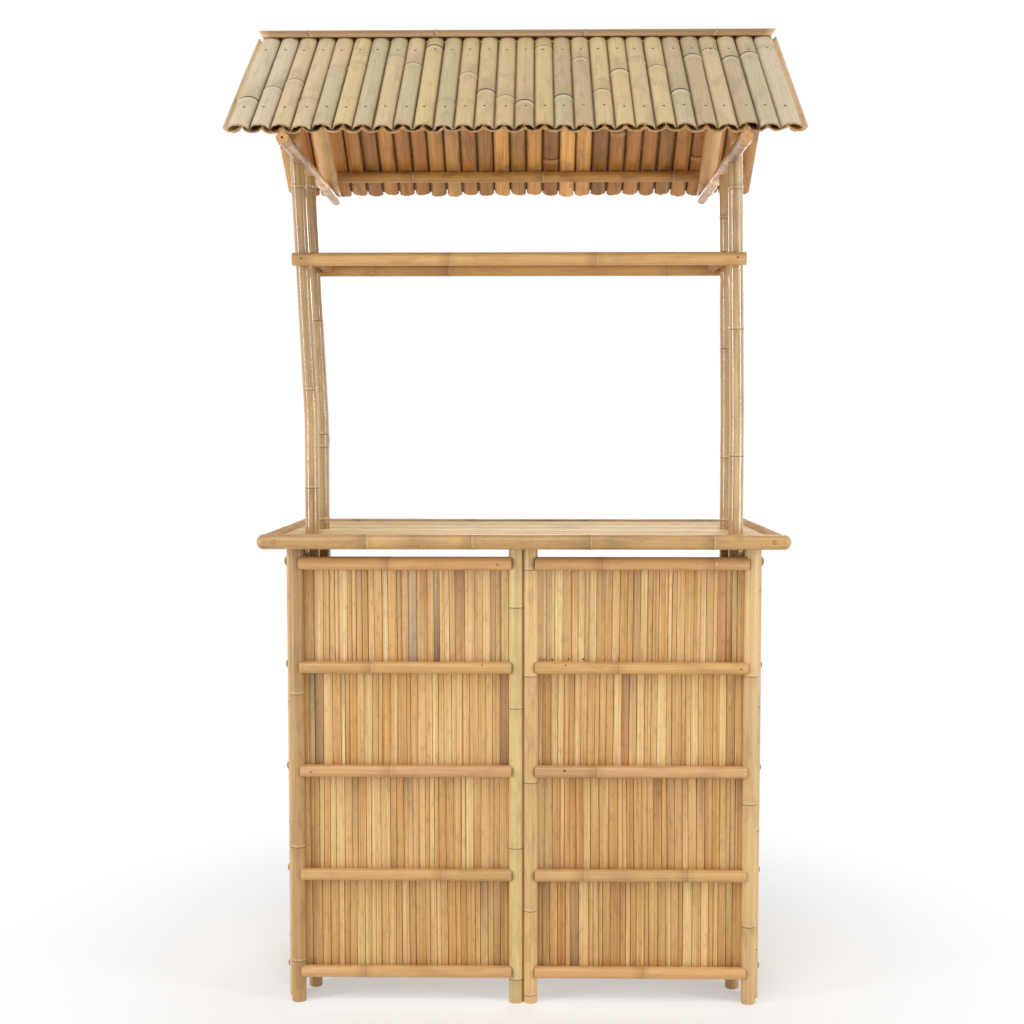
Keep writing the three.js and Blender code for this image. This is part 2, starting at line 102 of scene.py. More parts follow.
def seen_white(tree):
    """One where the background is looked at straight, in a reflection or through glass, and nought for
    rays that light the object."""
    path = add_node(tree, "ShaderNodeLightPath").outputs
    mirrored = maths(tree, "MAXIMUM", path["Is Camera Ray"], path["Is Glossy Ray"])
    return maths(tree, "MAXIMUM", mirrored, path["Is Transmission Ray"])


room_light = 0.38
world = bpy.data.worlds.new("white_room")
scene.world = world
room = empty_tree(world)
lit, seen = (add_node(room, "ShaderNodeBackground", [("Color", white), ("Strength", strength)])
             for strength in (room_light, 1.0))
put_out_mix(room, seen_white(room), lit, seen, "ShaderNodeOutputWorld")

floor_half = 9000
paint_reach, white_reach, least_glow = 0.5, 1.5, 0.35
bpy.ops.mesh.primitive_plane_add(size=2 * floor_half / 1000, location=(0, 0, 0))
floor = bpy.context.object
floor.name = "studio_floor"
floor_paint = bpy.data.materials.new("pale_floor")
tree = empty_tree(floor_paint)
spot = add_node(tree, "ShaderNodeTexCoord").outputs["Object"]
reach = add_node(tree, "ShaderNodeVectorMath", [(0, spot)], operation="LENGTH").outputs["Value"]
fade = ranged(tree, reach, paint_reach, white_reach, least_glow, curve="SMOOTHSTEP")
matt = add_node(tree, "ShaderNodeBsdfDiffuse", [("Color", tint("fbfbfa"))])
glow = add_node(tree, "ShaderNodeEmission", [("Color", white), ("Strength", 1.0)])
put_out_mix(tree, maths(tree, "MULTIPLY", fade, seen_white(tree)), matt, glow, "ShaderNodeOutputMaterial")
floor.data.materials.append(floor_paint)

# Each lamp's place and the point that it is turned towards, in metres, its size and its power.
lamps = {
    "tall_lamp_left": ((-3.6, -2.1, 1.4), (0, 0, 1.15), (0.7, 2.6), 84),
    "tall_lamp_right": ((3.6, -1.9, 1.4), (0, 0, 1.15), (0.7, 2.6), 72),
    "high_lamp": ((-0.5, -2.3, 4.6), (0, -0.2, 2.0), (2.6, 1.2), 58),
    "rear_lamp": ((0.6, 3.6, 2.6), (0, 0, 1.2), (2.4, 1.2), 44),
}
for name, (place, aim, size, power) in lamps.items():
    light = bpy.data.lights.new(name, "AREA")
    light.shape = "RECTANGLE"
    light.size, light.size_y = size
    light.energy = power
    lamp = bpy.data.objects.new(name, light)
    scene.collection.objects.link(lamp)
    lamp.location = place
    towards = (Vector(aim) - Vector(place)).normalized()
    lamp.rotation_euler = towards.to_track_quat("-Z", "Y").to_euler()

camera_data = bpy.data.cameras.new("front_camera")
camera_data.sensor_width = 36.0
camera_data.lens = 50.18
camera = bpy.data.objects.new("front_camera", camera_data)
scene.collection.objects.link(camera)
camera.location = (0.04594, -3.51885, 1.32367)
camera.rotation_euler = (math.radians(86.74), 0, math.radians(0.93))
scene.camera = camera


# Panel posts. Each of the four panels has two whole culms that stand on the floor, sawn off level, dried
# to a pale straw colour and varnished. The four in front are seen at full length.
post_radius = 16.5
inner_set_in = 1.6
culm_sides = 36
crease = 38
no_node = 400.0
ring_half = 2.6
groove_depth, groove_below, groove_half = 0.55, 3.2, 0.8
collar_share, collar_below, collar_half = 0.25, 7, 4.0
flute_share, flute_turn, flute_start, flute_fade = 0.7, 0.33, 9, 90
bud_height, bud_turn, bud_half = 1.8, 0.3, 9
length_tone_spread = 0.05
longest_squeeze = 80.0
end_edge = 1.4


def box_of(node):
    """Lowest corner, highest corner and middle of a node's box, in mm."""
    low, high = (np.array(corner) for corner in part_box(node))
    return 1000 * low, 1000 * high, 500 * (low + high)


def hill(distance, half):
    """One at nought, falling on both sides as the power of e to minus the squared share of a half width."""
    return np.exp(-(distance / half) ** 2)


def stations_along(length, nodes, step=28.0, margin=2):
    """Distances along a culm where its surface is worked out: even steps, closer ones at each node, and a
    pair half way between two nodes, where the nearest node changes."""
    close = np.array([-15, -10, -6.5, -4.6, -3.7, -3.0, -2.3, -1.4, 0, 1.4, 3, 5.5, 9, 14.0])
    even = np.linspace(0, length, max(4, int(length / step) + 1))
    nodes = np.asarray(nodes, float)
    halfway = np.floor(5 * (nodes[1:] + nodes[:-1])) / 10
    near = np.concatenate([(nodes[:, None] + close).ravel(), halfway, halfway + 0.1])
    near = near[(near > margin) & (near < length - margin)]
    return np.unique(np.round(np.concatenate([even, near]), 1))


def square_cut(p, q):
    """A way to cut a culm off square: nothing of any fibre at (p, q) off the axis."""
    return np.zeros(p.shape)


def culm(start, end, radius, up, nodes=(), seed=0, tone=(1, 1, 1), wall=4.5, head=square_cut,
         tail=square_cut, rounding=0.0, bow=0.0, oval=0.015, bore=26.0, buds=(), swell=1.3,
         fitted=False, shift=None, patches=()):
    """A whole culm from start to end. A point at angle a round the axis and distance s along it stands off
    the axis by the culm's radius, times one plus a small oval of twice a, plus a low ring and less a thin
    groove at each node, plus a round bud where one is given as (distance, angle), and less a flute that
    starts at a node and fades along the next length. head and tail give for a fibre at (p, q) off the axis
    how much of it is cut off, and shift how far the axis stands aside at a distance. A sawn end shows the
    wall and the hollow, whose inside is coloured dark as painted shade, a rounded end is an ellipse's
    quarter turned about the axis, and a fitted end is darkened with painted shade where it meets its
    neighbour. A patch (distance, half length, depth) is a darker place, or a paler one if the depth is
    below nought."""
    chance = np.random.default_rng(seed)
    start, end = np.array(start, float), np.array(end, float)
    length = np.linalg.norm(end - start)
    w = (end - start) / length
    v = np.array(up, float)
    v -= w * (v @ w)
    v /= np.linalg.norm(v)
    u = np.cross(v, w)
    angle = np.linspace(0, 2 * np.pi, culm_sides, endpoint=False)
    nodes = np.sort(np.asarray(nodes, float))
    p, q = radius * np.cos(angle), radius * np.sin(angle)

    # The rings of an end, from its middle to the skin: how far in they are, how deep and how much cut.
    if rounding:
        turn = np.radians([8, 25, 42, 58, 72, 83])
        inset, depth = radius * (1 - np.sin(turn)), rounding * (1 - np.cos(turn))
        cut_rows = np.array([0.35, 0.3, 0.2, 0.1, 0.0, 0.0])
    else:
        inset = np.array([wall + 0.6, wall, wall, 0.7, 0.15])
        depth = np.array([bore, bore - 1, 0.0, 0.0, 0.6])
        # A cut of one takes the dark bore colour, painted shade in the hollow; a fitted end's outer rows are
        # darker too, as painted shade where it meets its neighbour.
        cut_rows = np.array([1.0, 1.0, 0.72, 0.7, 0.6] if fitted else [1.0, 1.0, 0.5, 0.5, 0.25])
    body = stations_along(length, nodes)[:, None]
    squeezed = min(longest_squeeze, length / 2)
    set_in = rounding or end_edge

    share = (radius - inset[:, None]) / radius
    head_rows = head(p * share, q * share) + depth[:, None]
    tail_rows = length - tail(p * share, q * share) - depth[:, None]
    begin, finish = head(p, q) + set_in, length - tail(p, q) - set_in
    body_rows = (body + begin * np.clip(1 - body / squeezed, 0, 1)
                 + (finish - length) * np.clip(1 - (length - body) / squeezed, 0, 1))
    s = np.concatenate([head_rows, body_rows, tail_rows[::-1]])
    inset_rows = np.concatenate([inset, np.zeros(len(body)), inset[::-1]])[:, None]
    cut = np.concatenate([cut_rows, np.zeros(len(body)), cut_rows[::-1]])[:, None] + 0 * s

    lean = chance.uniform(0, np.pi)
    r = radius * (1 + oval * np.cos(2 * (angle - lean))) + 0 * s
    from_node = np.full(s.shape, no_node)
    for i, node in enumerate(nodes):
        d = s - node
        r = r + swell * hill(d, ring_half) - groove_depth * hill(d + groove_below, groove_half)
        r = r + collar_share * swell * hill(d + collar_below, collar_half)
        side = (lean + i * np.pi) % (2 * np.pi)
        turn = np.angle(np.exp(1j * (angle - side)))
        r = r - (flute_share * swell * hill(turn, flute_turn) * np.clip(d / flute_start, 0, 1)
                 * np.exp(-np.clip(d, 0, None) / flute_fade))
        from_node = np.where(np.abs(d) < np.abs(from_node), d, from_node)
    for place, side in buds:
        turn = np.angle(np.exp(1j * (angle - side)))
        r = r + bud_height * np.exp(-(turn / bud_turn) ** 2 - ((s - place) / bud_half) ** 2)
    length_tones = 1 + length_tone_spread * chance.standard_normal(len(nodes) + 1)
    shade = length_tones[np.searchsorted(nodes, s)]
    for place, half, darkening in patches:
        shade = shade * (1 - darkening * hill(s - place, half))
    r = r - inset_rows
    wander = bow * np.sin(np.pi * np.clip(s / length, 0, 1))
    if shift:
        wander = wander + shift(s)
    reach = (r * np.cos(angle))[..., None] * u + (r * np.sin(angle))[..., None] * v
    points = start + s[..., None] * w + reach + wander[..., None] * u
    offset = chance.uniform(0, 900, 3)
    skin = np.stack([r * np.cos(angle), r * np.sin(angle), s], -1) + offset
    return {"grid": points, "skin": skin, "node": from_node, "cut": cut, "end": "point",
            "tone": shade[..., None] * np.array(tone, float)}


def piece(name, parts, finish, replaces=True):
    """One mesh from parts that are each a grid of closed rings: quads between neighbouring rings, and ends
    closed either to a middle point or straight across from one half of the ring to the other. It stands
    for the node of its own name, unless told that it replaces none."""
    columns = {key: [] for key in ("grid", "skin", "node", "cut", "tone")}
    corners, sizes = [], []
    base = 0
    for part in parts:
        rows, count = part["grid"].shape[:2]
        index = base + np.arange(rows * count).reshape(rows, count)
        ahead = np.roll(index, -1, axis=1)
        quads = np.stack([index[:-1], ahead[:-1], ahead[1:], index[1:]], -1).reshape(-1, 4)
        base += rows * count
        pointed = part["end"] == "point"
        for key, column in columns.items():
            values = part[key].reshape(rows, count, -1)
            column.append(values.reshape(rows * count, -1))
            if pointed:
                column.append(values[[0, -1]].mean(1))
        if pointed:
            near, far = np.full(count, base), np.full(count, base + 1)
            caps = np.concatenate([np.stack([near, ahead[0], index[0]], -1),
                                   np.stack([far, index[-1], ahead[-1]], -1)])
            base += 2
        else:
            left = np.arange(count // 2 - 1)
            ladder = np.stack([left, left + 1, count - 2 - left, count - 1 - left], -1)
            caps = np.concatenate([index[0][ladder[:, ::-1]], index[-1][ladder]])
        corners += [quads.ravel(), caps.ravel()]
        sizes += [np.full(len(quads), 4), np.full(len(caps), caps.shape[1])]
    points, skins, node_gaps, cuts, tones = (np.concatenate(column) for column in columns.values())
    corners, sizes = np.concatenate(corners), np.concatenate(sizes)
    mesh = bpy.data.meshes.new(name)
    mesh.vertices.add(len(points))
    mesh.vertices.foreach_set("co", (points / 1000).ravel())
    mesh.loops.add(len(corners))
    mesh.loops.foreach_set("vertex_index", corners.astype(np.int32))
    mesh.polygons.add(len(sizes))
    mesh.polygons.foreach_set("loop_start", np.concatenate([[0], np.cumsum(sizes)[:-1]]).astype(np.int32))
    mesh.update(calc_edges=True)
    for label, kind, field, values in (
        ("skin", "FLOAT_VECTOR", "vector", skins),
        ("from_node", "FLOAT", "value", node_gaps),
        ("cut", "FLOAT", "value", cuts),
        ("tone", "FLOAT_COLOR", "color", np.concatenate([tones, np.ones((len(tones), 1))], 1)),
    ):
        layer = mesh.attributes.new(label, kind, "POINT")
        layer.data.foreach_set(field, values.astype(np.float32).ravel())
    mesh.shade_smooth()
    mesh.set_sharp_from_angle(angle=math.radians(crease))
    mesh.materials.append(finish)
    made = bpy.data.objects.new(name, mesh)
    scene.collection.objects.link(made)
    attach(made, "root")
    if replaces:
        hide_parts(name)


def new_group(name, inputs, outputs):
    """An empty node group. Each input has a value, or none if it is a vector, and an output is a number.
    Gives the group, its inputs as they are seen inside it, and its outputs to link to."""
    group = bpy.data.node_groups.new(name, "ShaderNodeTree")
    for label, value in inputs.items():
        kind = "NodeSocketVector" if value is None else "NodeSocketFloat"
        socket = group.interface.new_socket(label, in_out="INPUT", socket_type=kind)
        if value is not None:
            socket.default_value = value
    for label in outputs:
        group.interface.new_socket(label, in_out="OUTPUT", socket_type="NodeSocketFloat")
    return group, group.nodes.new("NodeGroupInput").outputs, group.nodes.new("NodeGroupOutput").inputs


def in_grains(tree, place, width, length):
    """A place on the skin counted in grains: divided by a grain's width across the culm and its length."""
    grain = add_node(tree, "ShaderNodeCombineXYZ", enumerate((width, width, length))).outputs[0]
    return add_node(tree, "ShaderNodeVectorMath", enumerate((place, grain)), operation="DIVIDE").outputs[0]


def noise(tree, place, detail, roughness=0.5):
    """A noise texture's value at a place."""
    return add_node(tree, "ShaderNodeTexNoise", [("Vector", place), ("Scale", 1.0), ("Detail", detail),
                                                 ("Roughness", roughness)]).outputs[0]


# Fibres: noise that is drawn out along the culm, fine and broad.
broad_scale = 0.13
fibre, given, result = new_group("bamboo_fibre", {"Skin": None, "Width": 0.9, "Length": 130.0},
                                 ["Fine", "Broad"])
drawn = in_grains(fibre, given["Skin"], given["Width"], given["Length"])
wide = add_node(fibre, "ShaderNodeVectorMath", [(0, drawn), ("Scale", broad_scale)],
                operation="SCALE").outputs[0]
fibre.links.new(ranged(fibre, noise(fibre, drawn, 3.0, 0.65), 0.3, 0.7), result["Fine"])
fibre.links.new(ranged(fibre, noise(fibre, wide, 2.0), 0.33, 0.67), result["Broad"])

# Node marks: a thin dark scar just below a node's ring, a pale bloom on it, and a deeper tone under it.
# Each is one at a distance from the node and falls smoothly to nought at a half width from there.
marks, given, result = new_group("node_marks", {"Distance": no_node}, ["Scar", "Bloom", "Shade"])
for label, middle, half_width in (("Scar", -3.2, 1.9), ("Bloom", 0.6, 5.0), ("Shade", -8.0, 30.0)):
    away = maths(marks, "ABSOLUTE", maths(marks, "ADD", given["Distance"], -middle))
    marks.links.new(ranged(marks, away, 0.0, half_width, 1.0, 0.0, "SMOOTHSTEP"), result[label])

# Stains: soft blotches a few centimetres long, with small specks among them.
blotch_stretch, blotch_edge = 3.2, 0.52
speck_width, speck_length = 1.7, 5.0
stains, given, result = new_group("drying_stains", {"Skin": None, "Size": 26.0, "Spread": 0.12},
                                  ["Blotch", "Speck"])
blotch_length = maths(stains, "MULTIPLY", given["Size"], blotch_stretch)
cloud = noise(stains, in_grains(stains, given["Skin"], given["Size"], blotch_length), 4.0, 0.6)
full_blotch = maths(stains, "ADD", blotch_edge, given["Spread"])
stains.links.new(ranged(stains, cloud, blotch_edge, full_blotch), result["Blotch"])
dust = noise(stains, in_grains(stains, given["Skin"], speck_width, speck_length), 1.0)
stains.links.new(ranged(stains, dust, 0.69, 0.76), result["Speck"])


def mix(tree, share, low, high, kind="MIX"):
    """Two colours mixed by a share, where each may be a value or a socket."""
    return add_node(tree, "ShaderNodeMix", [(0, share), (6, low), (7, high)], data_type="RGBA",
                    blend_type=kind, clamp_factor=True).outputs[2]


def bamboo(name, light, dark, warm, scar="5d3a1e", bloom="ecd6a4", sawn="d2a878", bore="3a2312",
           stain="7c5a36", fine_share=0.8, warm_share=0.45, stain_share=0.25, speck_share=0.35,
           scar_share=0.75, bloom_share=0.4, shade_share=0.22, width=2.0, length=220.0, gloss=0.36,
           gloss_spread=0.2, coat=0.25, sheen=0.16, relief=0.3, spread=0.12, size=26.0):
    """A bamboo finish: light and dark fibres, broad warm streaks, blotches and specks, the piece's tone,
    which carries painted shade on some pieces, the marks at the nodes, sawn ends with their pores, a dark
    bore colour that is painted shade in a hollow or at a fitted joint, and a thin satin varnish."""
    finish = bpy.data.materials.new(name)
    tree = empty_tree(finish)
    skin, tone, gap, cut = (
        add_node(tree, "ShaderNodeAttribute", attribute_name=label).outputs[kind]
        for label, kind in (("skin", "Vector"), ("tone", "Color"), ("from_node", "Fac"), ("cut", "Fac")))
    threads = add_node(tree, "ShaderNodeGroup", [("Skin", skin), ("Width", width), ("Length", length)],
                       node_tree=fibre).outputs
    at_node = add_node(tree, "ShaderNodeGroup", [("Distance", gap)], node_tree=marks).outputs
    spots = add_node(tree, "ShaderNodeGroup", [("Skin", skin), ("Size", size), ("Spread", spread)],
                     node_tree=stains).outputs

    def under(colour, *layers):
        """A colour under layers, each a mask, the most that it covers and the layer's own colour."""
        for mask, share, code in layers:
            colour = mix(tree, maths(tree, "MULTIPLY", mask, share), colour, tint(code))
        return colour

    wood = under(tint(light), (threads["Fine"], fine_share, dark), (threads["Broad"], warm_share, warm),
                 (spots["Blotch"], stain_share, stain), (spots["Speck"], speck_share, scar))
    colour = under(mix(tree, 1.0, wood, tone, "MULTIPLY"), (at_node["Shade"], shade_share, stain),
                   (at_node["Bloom"], bloom_share, bloom), (at_node["Scar"], scar_share, scar))
    pores = mix(tree, spots["Speck"], tint(sawn), tint(stain))
    colour = mix(tree, ranged(tree, cut, 0.1, 0.45), colour, pores)
    # The bore colour where the cut is near one: painted shade inside a hollow end and at a fitted joint, and
    # the dark of a nail's head.
    colour = mix(tree, ranged(tree, cut, 0.55, 0.95), colour, tint(bore))

    raised = add_node(tree, "ShaderNodeBump", [("Strength", relief), ("Distance", 0.0006),
                                               ("Height", threads["Fine"])])
    shader = add_node(tree, "ShaderNodeBsdfPrincipled", [
        ("Base Color", colour), ("Normal", raised.outputs[0]), ("IOR", 1.45),
        ("Roughness", ranged(tree, threads["Fine"], 0.0, 1.0, gloss, gloss + gloss_spread)),
        ("Coat Weight", coat), ("Coat Roughness", sheen)])
    add_node(tree, "ShaderNodeOutputMaterial", [("Surface", shader.outputs[0])])
    return finish


straw_culm = bamboo("straw_culm", "e2c58f", "b9935f", "cba56f", bloom="e6d2a2", scar="553a1e",
                    bloom_share=0.22, scar_share=0.8, shade_share=0.15, width=3.0)
# Each post's tone, the heights of its nodes, and its buds.
post_looks = {
    "front_left_outer": ((0.71, 0.6, 0.48), [98, 366, 722], [(366, 3.6)]),
    "front_left_inner": ((1.0, 1.06, 0.95), [58, 366, 691, 923], [(852, 4.3)]),
    "front_right_inner": ((1.06, 1.0, 0.9), [21, 219, 519, 765, 1010], [(296, 4.9)]),
    "front_right_outer": ((1.04, 1.02, 0.98), [184, 470, 766], []),
    "side_left_front": ((0.97, 0.93, 0.86), [150, 420, 700, 950], []),
    "side_left_rear": ((1.0, 1.0, 0.95), [90, 370, 660, 930], []),
    "side_right_front": ((1.0, 0.96, 0.86), [120, 400, 690, 960], []),
    "side_right_rear": ((1.02, 1.0, 0.96), [60, 340, 640, 900], []),
}
for i, (which, (tone, nodes, buds)) in enumerate(post_looks.items()):
    node = f"{which}_post"
    _, high, (x, y, _) = box_of(node)
    x += {"front_left_inner": inner_set_in, "front_right_inner": -inner_set_in}.get(which, 0)
    shape = (dict(bow=0.0, swell=0.3, oval=0.0) if which.endswith("inner")
             else dict(bow=(-1) ** i * 0.8, swell=0.55))
    post = culm((x, y, 0), (x, y, high[2]), post_radius, (0, 1, 0), nodes, seed=100 + i, tone=tone,
                buds=buds, **shape)
    piece(node, [post], straw_culm)


# Panel rails. Five whole culms a panel, coped at both ends to the posts, standing proud of them towards
# the outside, honey-coloured, and nailed through into the posts.
rail_radius, top_rail_radius = 14.0, 15.0
top_rail = 5
rail_set_forward = 8.0
seat_gap = 0.4
fitted_bore = 3.0
# Where each rail has its nodes, by their places along the panel, from the lowest rail up.
rail_nodes = {
    "front_left": [[-340], [-165], [-285], [-328], [-286]],
    "front_right": [[300], [160, 400], [190], [240], [202, 455]],
    "side_left": [[-150], [60], [-60], [130], [-20]],
    "side_right": [[-100], [120], [-40], [90], [30]],
}


def coped(radius, aside, least):
    """A way to cut a fibre at (p, q) back from a round neighbour's axis to its surface: by the root of the
    squared radius less the square of how far aside of the axis it passes, or by a least distance."""
    return lambda p, q: np.sqrt(np.maximum((radius + seat_gap) ** 2 - aside(p, q) ** 2, least ** 2))


def fitted_culm(node, axis, places, radius, cope, nodes, **looks):
    """A culm through the middle of a node's box, along one axis between its two neighbours' axes and coped
    to both, with its nodes given by their distances from the first."""
    start = box_of(node)[2]
    end = start.copy()
    start[axis], end[axis] = places
    return culm(start, end, radius, (0, 0, 1), nodes, head=cope, tail=cope, bore=fitted_bore, fitted=True,
                **looks)


honey_culm = bamboo("honey_culm", "dcb378", "b88953", "c89457", bloom="dcb684", scar="7a5230",
                    stain="9a6a3c", bloom_share=0.15, scar_share=0.35, shade_share=0.35, width=3.0)
rail_tones = np.random.default_rng(21).uniform(0.93, 1.07, (4, 5))
for i, (panel, rows) in enumerate(rail_nodes.items()):
    in_front = panel.startswith("front")
    axis = 0 if in_front else 1
    ends = ("outer", "inner") if in_front else ("front", "rear")
    places = sorted(box_of(f"{panel}_{end}_post")[2][axis] for end in ends)
    set_out = -rail_set_forward if in_front else rail_set_forward
    line_sign = -1 if panel == "side_right" else 1
    cope = coped(post_radius, lambda p, q: set_out + line_sign * p, 8.5)
    for row, nodes in enumerate(rows):
        node = f"{panel}_rail_{row + 1}"
        tone = rail_tones[i, row] * np.array([1.0, 0.97 + 0.05 * (row % 2), 0.95 + 0.05 * (row % 3)])
        rail = fitted_culm(node, axis, places, top_rail_radius if row + 1 == top_rail else rail_radius,
                           cope, [place - places[0] for place in nodes], seed=200 + 10 * i + row,
                           tone=tone, wall=5.0, bow=0.4, swell=0.5)
        piece(node, [rail], honey_culm)


def stud(place, out, half, height, tone, dark=True):
    """A small closed dome on a surface, such as a nail's head or its pit. Its outline is an ellipse with
    one half width along X and one square to it, or a circle where one is given. It starts in the surface,
    rises square out of it by three tenths of the height, and closes over two smaller outlines above."""
    half_across, half_along = np.broadcast_to(half, 2)
    out, across = np.array(out, float), np.array((1.0, 0.0, 0.0))
    along = np.cross(out, across)
    turn = np.linspace(0, 2 * np.pi, 12, endpoint=False)
    size = np.array([0.9, 1.0, 1.0, 0.7, 0.3])[:, None, None]
    lift = np.array([-1.6, -0.8, 0.3, 0.8, 1.0])[:, None, None] * height
    edge_line = (half_across * np.cos(turn)[:, None] * across + half_along * np.sin(turn)[:, None] * along)
    grid = np.array(place, float) + size * edge_line + lift * out
    flat = np.zeros(grid.shape[:2])
    return {"grid": grid, "skin": grid, "node": flat + no_node, "cut": flat + float(dark),
            "end": "point", "tone": flat[..., None] + np.array(tone, float)}


# Each nail's panel and rail, its place along the panel, how far above the rail's axis it is, and its size.
rail_nails = [("right", 5, 457.0, 1.0, 2.8), ("left", 4, -74.7, 8.0, 1.8), ("left", 3, -468.0, 0.0, 1.8),
              ("left", 5, -40.0, -2.0, 1.8), ("right", 4, 115.6, 8.0, 2.0), ("right", 3, 113.8, 5.0, 2.6),
              ("right", 4, 515.0, 0.0, 1.8)]
studs = []
for side, row, x, rise, size in rail_nails:
    _, y, z = box_of(f"front_{side}_rail_{row}")[2]
    radius = top_rail_radius if row == top_rail else rail_radius
    out = np.array([0, -math.sqrt(radius ** 2 - rise ** 2), rise]) / radius
    bright = (side, row) == ("right", top_rail)
    studs.append(stud(np.array([x, y, z]) + radius * out, out, size, 0.5,
                      (1.4, 1.5, 1.8) if bright else (0.6, 0.5, 0.45), not bright))
piece("rail_nails", studs, honey_culm, replaces=False)


# Panel slats. Each bay between two rails is filled with upright split strips, a little uneven in width,
# lean and colour, nailed behind the rails with their skin outwards.
slat_thickness, slat_camber = 4.4, 0.8
slat_set_back, slat_depth_spread = 1.2, 0.5
usual_gap, wide_gap, wide_gap_share = 0.06, 0.5, 0.02
end_bay_overrun = 8
slat_unevenness, slat_lean, slat_end_gap, far_share = 0.42, 0.5, 0.2, 0.6
edge_break_width, edge_break_depth = 0.95, 1.1
strip_end = 0.6
forwards = (0, -1, 0)
nail_half, nail_tone = 2.2, (0.5, 0.4, 0.35)
slat_tones = ["debb88", "d2ac78", "cda46c", "d8b682", "c69c68", "cda064", "dabe8a", "c09660", "cfa976"]
odd_slat_tones = ["b07c4c", "a88d76", "b98458", "e0c88e", "9c7c5c", "86664e"]
odd_foot_share, odd_head_share = 0.05, 0.12
bay_tones = np.array([(0.96, 0.9, 0.79), (1.0, 0.93, 0.84), (1.01, 0.955, 0.88), (1.04, 1.03, 1.05)])


def slat_section(half_width, rise, thickness):
    """Outline of a split strip, anticlockwise: a front that is a flat arch of the rise, from one edge to
    the other, with its edges broken, and a flat back."""
    edge_break = 1 - edge_break_width / half_width
    across = np.array([1.0, edge_break, 0.5, -0.5, -edge_break, -1.0])
    front = rise * (1 - across ** 2)
    front[[0, -1]] -= edge_break_depth
    back = np.full_like(across, -thickness)
    return np.stack([np.concatenate([across, across[::-1]]) * half_width, np.concatenate([front, back])], -1)


def strip(section, start, end, out, seed, tone, far_tone=None, slant=0.0, edge_shade=(0.3, 0.3)):
    """A strip that carries its section from start to end, where out is the way its front faces. Its line
    shifts evenly along it by slant, its tone runs from one to the other, and its edges and back are darker
    with painted shade, as in the joints between strips."""
    chance = np.random.default_rng(seed)
    start, end, out = (np.array(value, float) for value in (start, end, out))
    length = np.linalg.norm(end - start)
    w = (end - start) / length
    side = np.cross(out, w)
    s = np.array([0.0, strip_end, length / 2, length - strip_end, length])
    shrink = np.array([0.96, 1, 1, 1, 0.96])[:, None]
    p = section[:, 0] * shrink + slant * (s / length - 0.5)[:, None]
    q = np.broadcast_to(section[:, 1], p.shape)
    grid = start + s[:, None, None] * w + p[..., None] * side + q[..., None] * out
    skin = np.stack([p, q, np.broadcast_to(s[:, None], p.shape)], -1) + chance.uniform(0, 900, 3)
    cut = np.broadcast_to(np.array([0.45, 0, 0, 0, 0.45])[:, None], p.shape)
    share = (s / length)[:, None, None]
    tone = np.array(tone, float)
    far_tone = tone if far_tone is None else np.array(far_tone, float)
    # Painted shade: the front edges darker by the edge shades, as in the joints, the back darker still, and
    # browner where it is deeper.
    back = [0.3, 0.75, 0.8, 0.8, 0.75, 0.3]
    painted_shade = np.array([edge_shade[0], 1, 1, 1, 1, edge_shade[1]] + back)[None, :, None]
    painted_shade = painted_shade ** np.array([1, 1.25, 1.6])
    return {"grid": grid, "skin": skin, "node": np.full(p.shape, no_node), "cut": cut, "end": "ladder",
            "tone": (tone + (far_tone - tone) * share) * painted_shade}


def uneven_edges(chance, low, high, count, unevenness):
    """Places of the joints of a row: widths that differ by a random share, scaled to fill the row."""
    widths = 1 + unevenness * chance.uniform(-1, 1, count)
    return low + (high - low) * np.concatenate([[0], np.cumsum(widths)]) / widths.sum()


def relative_tone(code, middle):
    """A colour as a factor on the middle colour of its finish: the one divided by the other."""
    return np.array(tint(code)[:3]) / np.array(tint(middle)[:3])


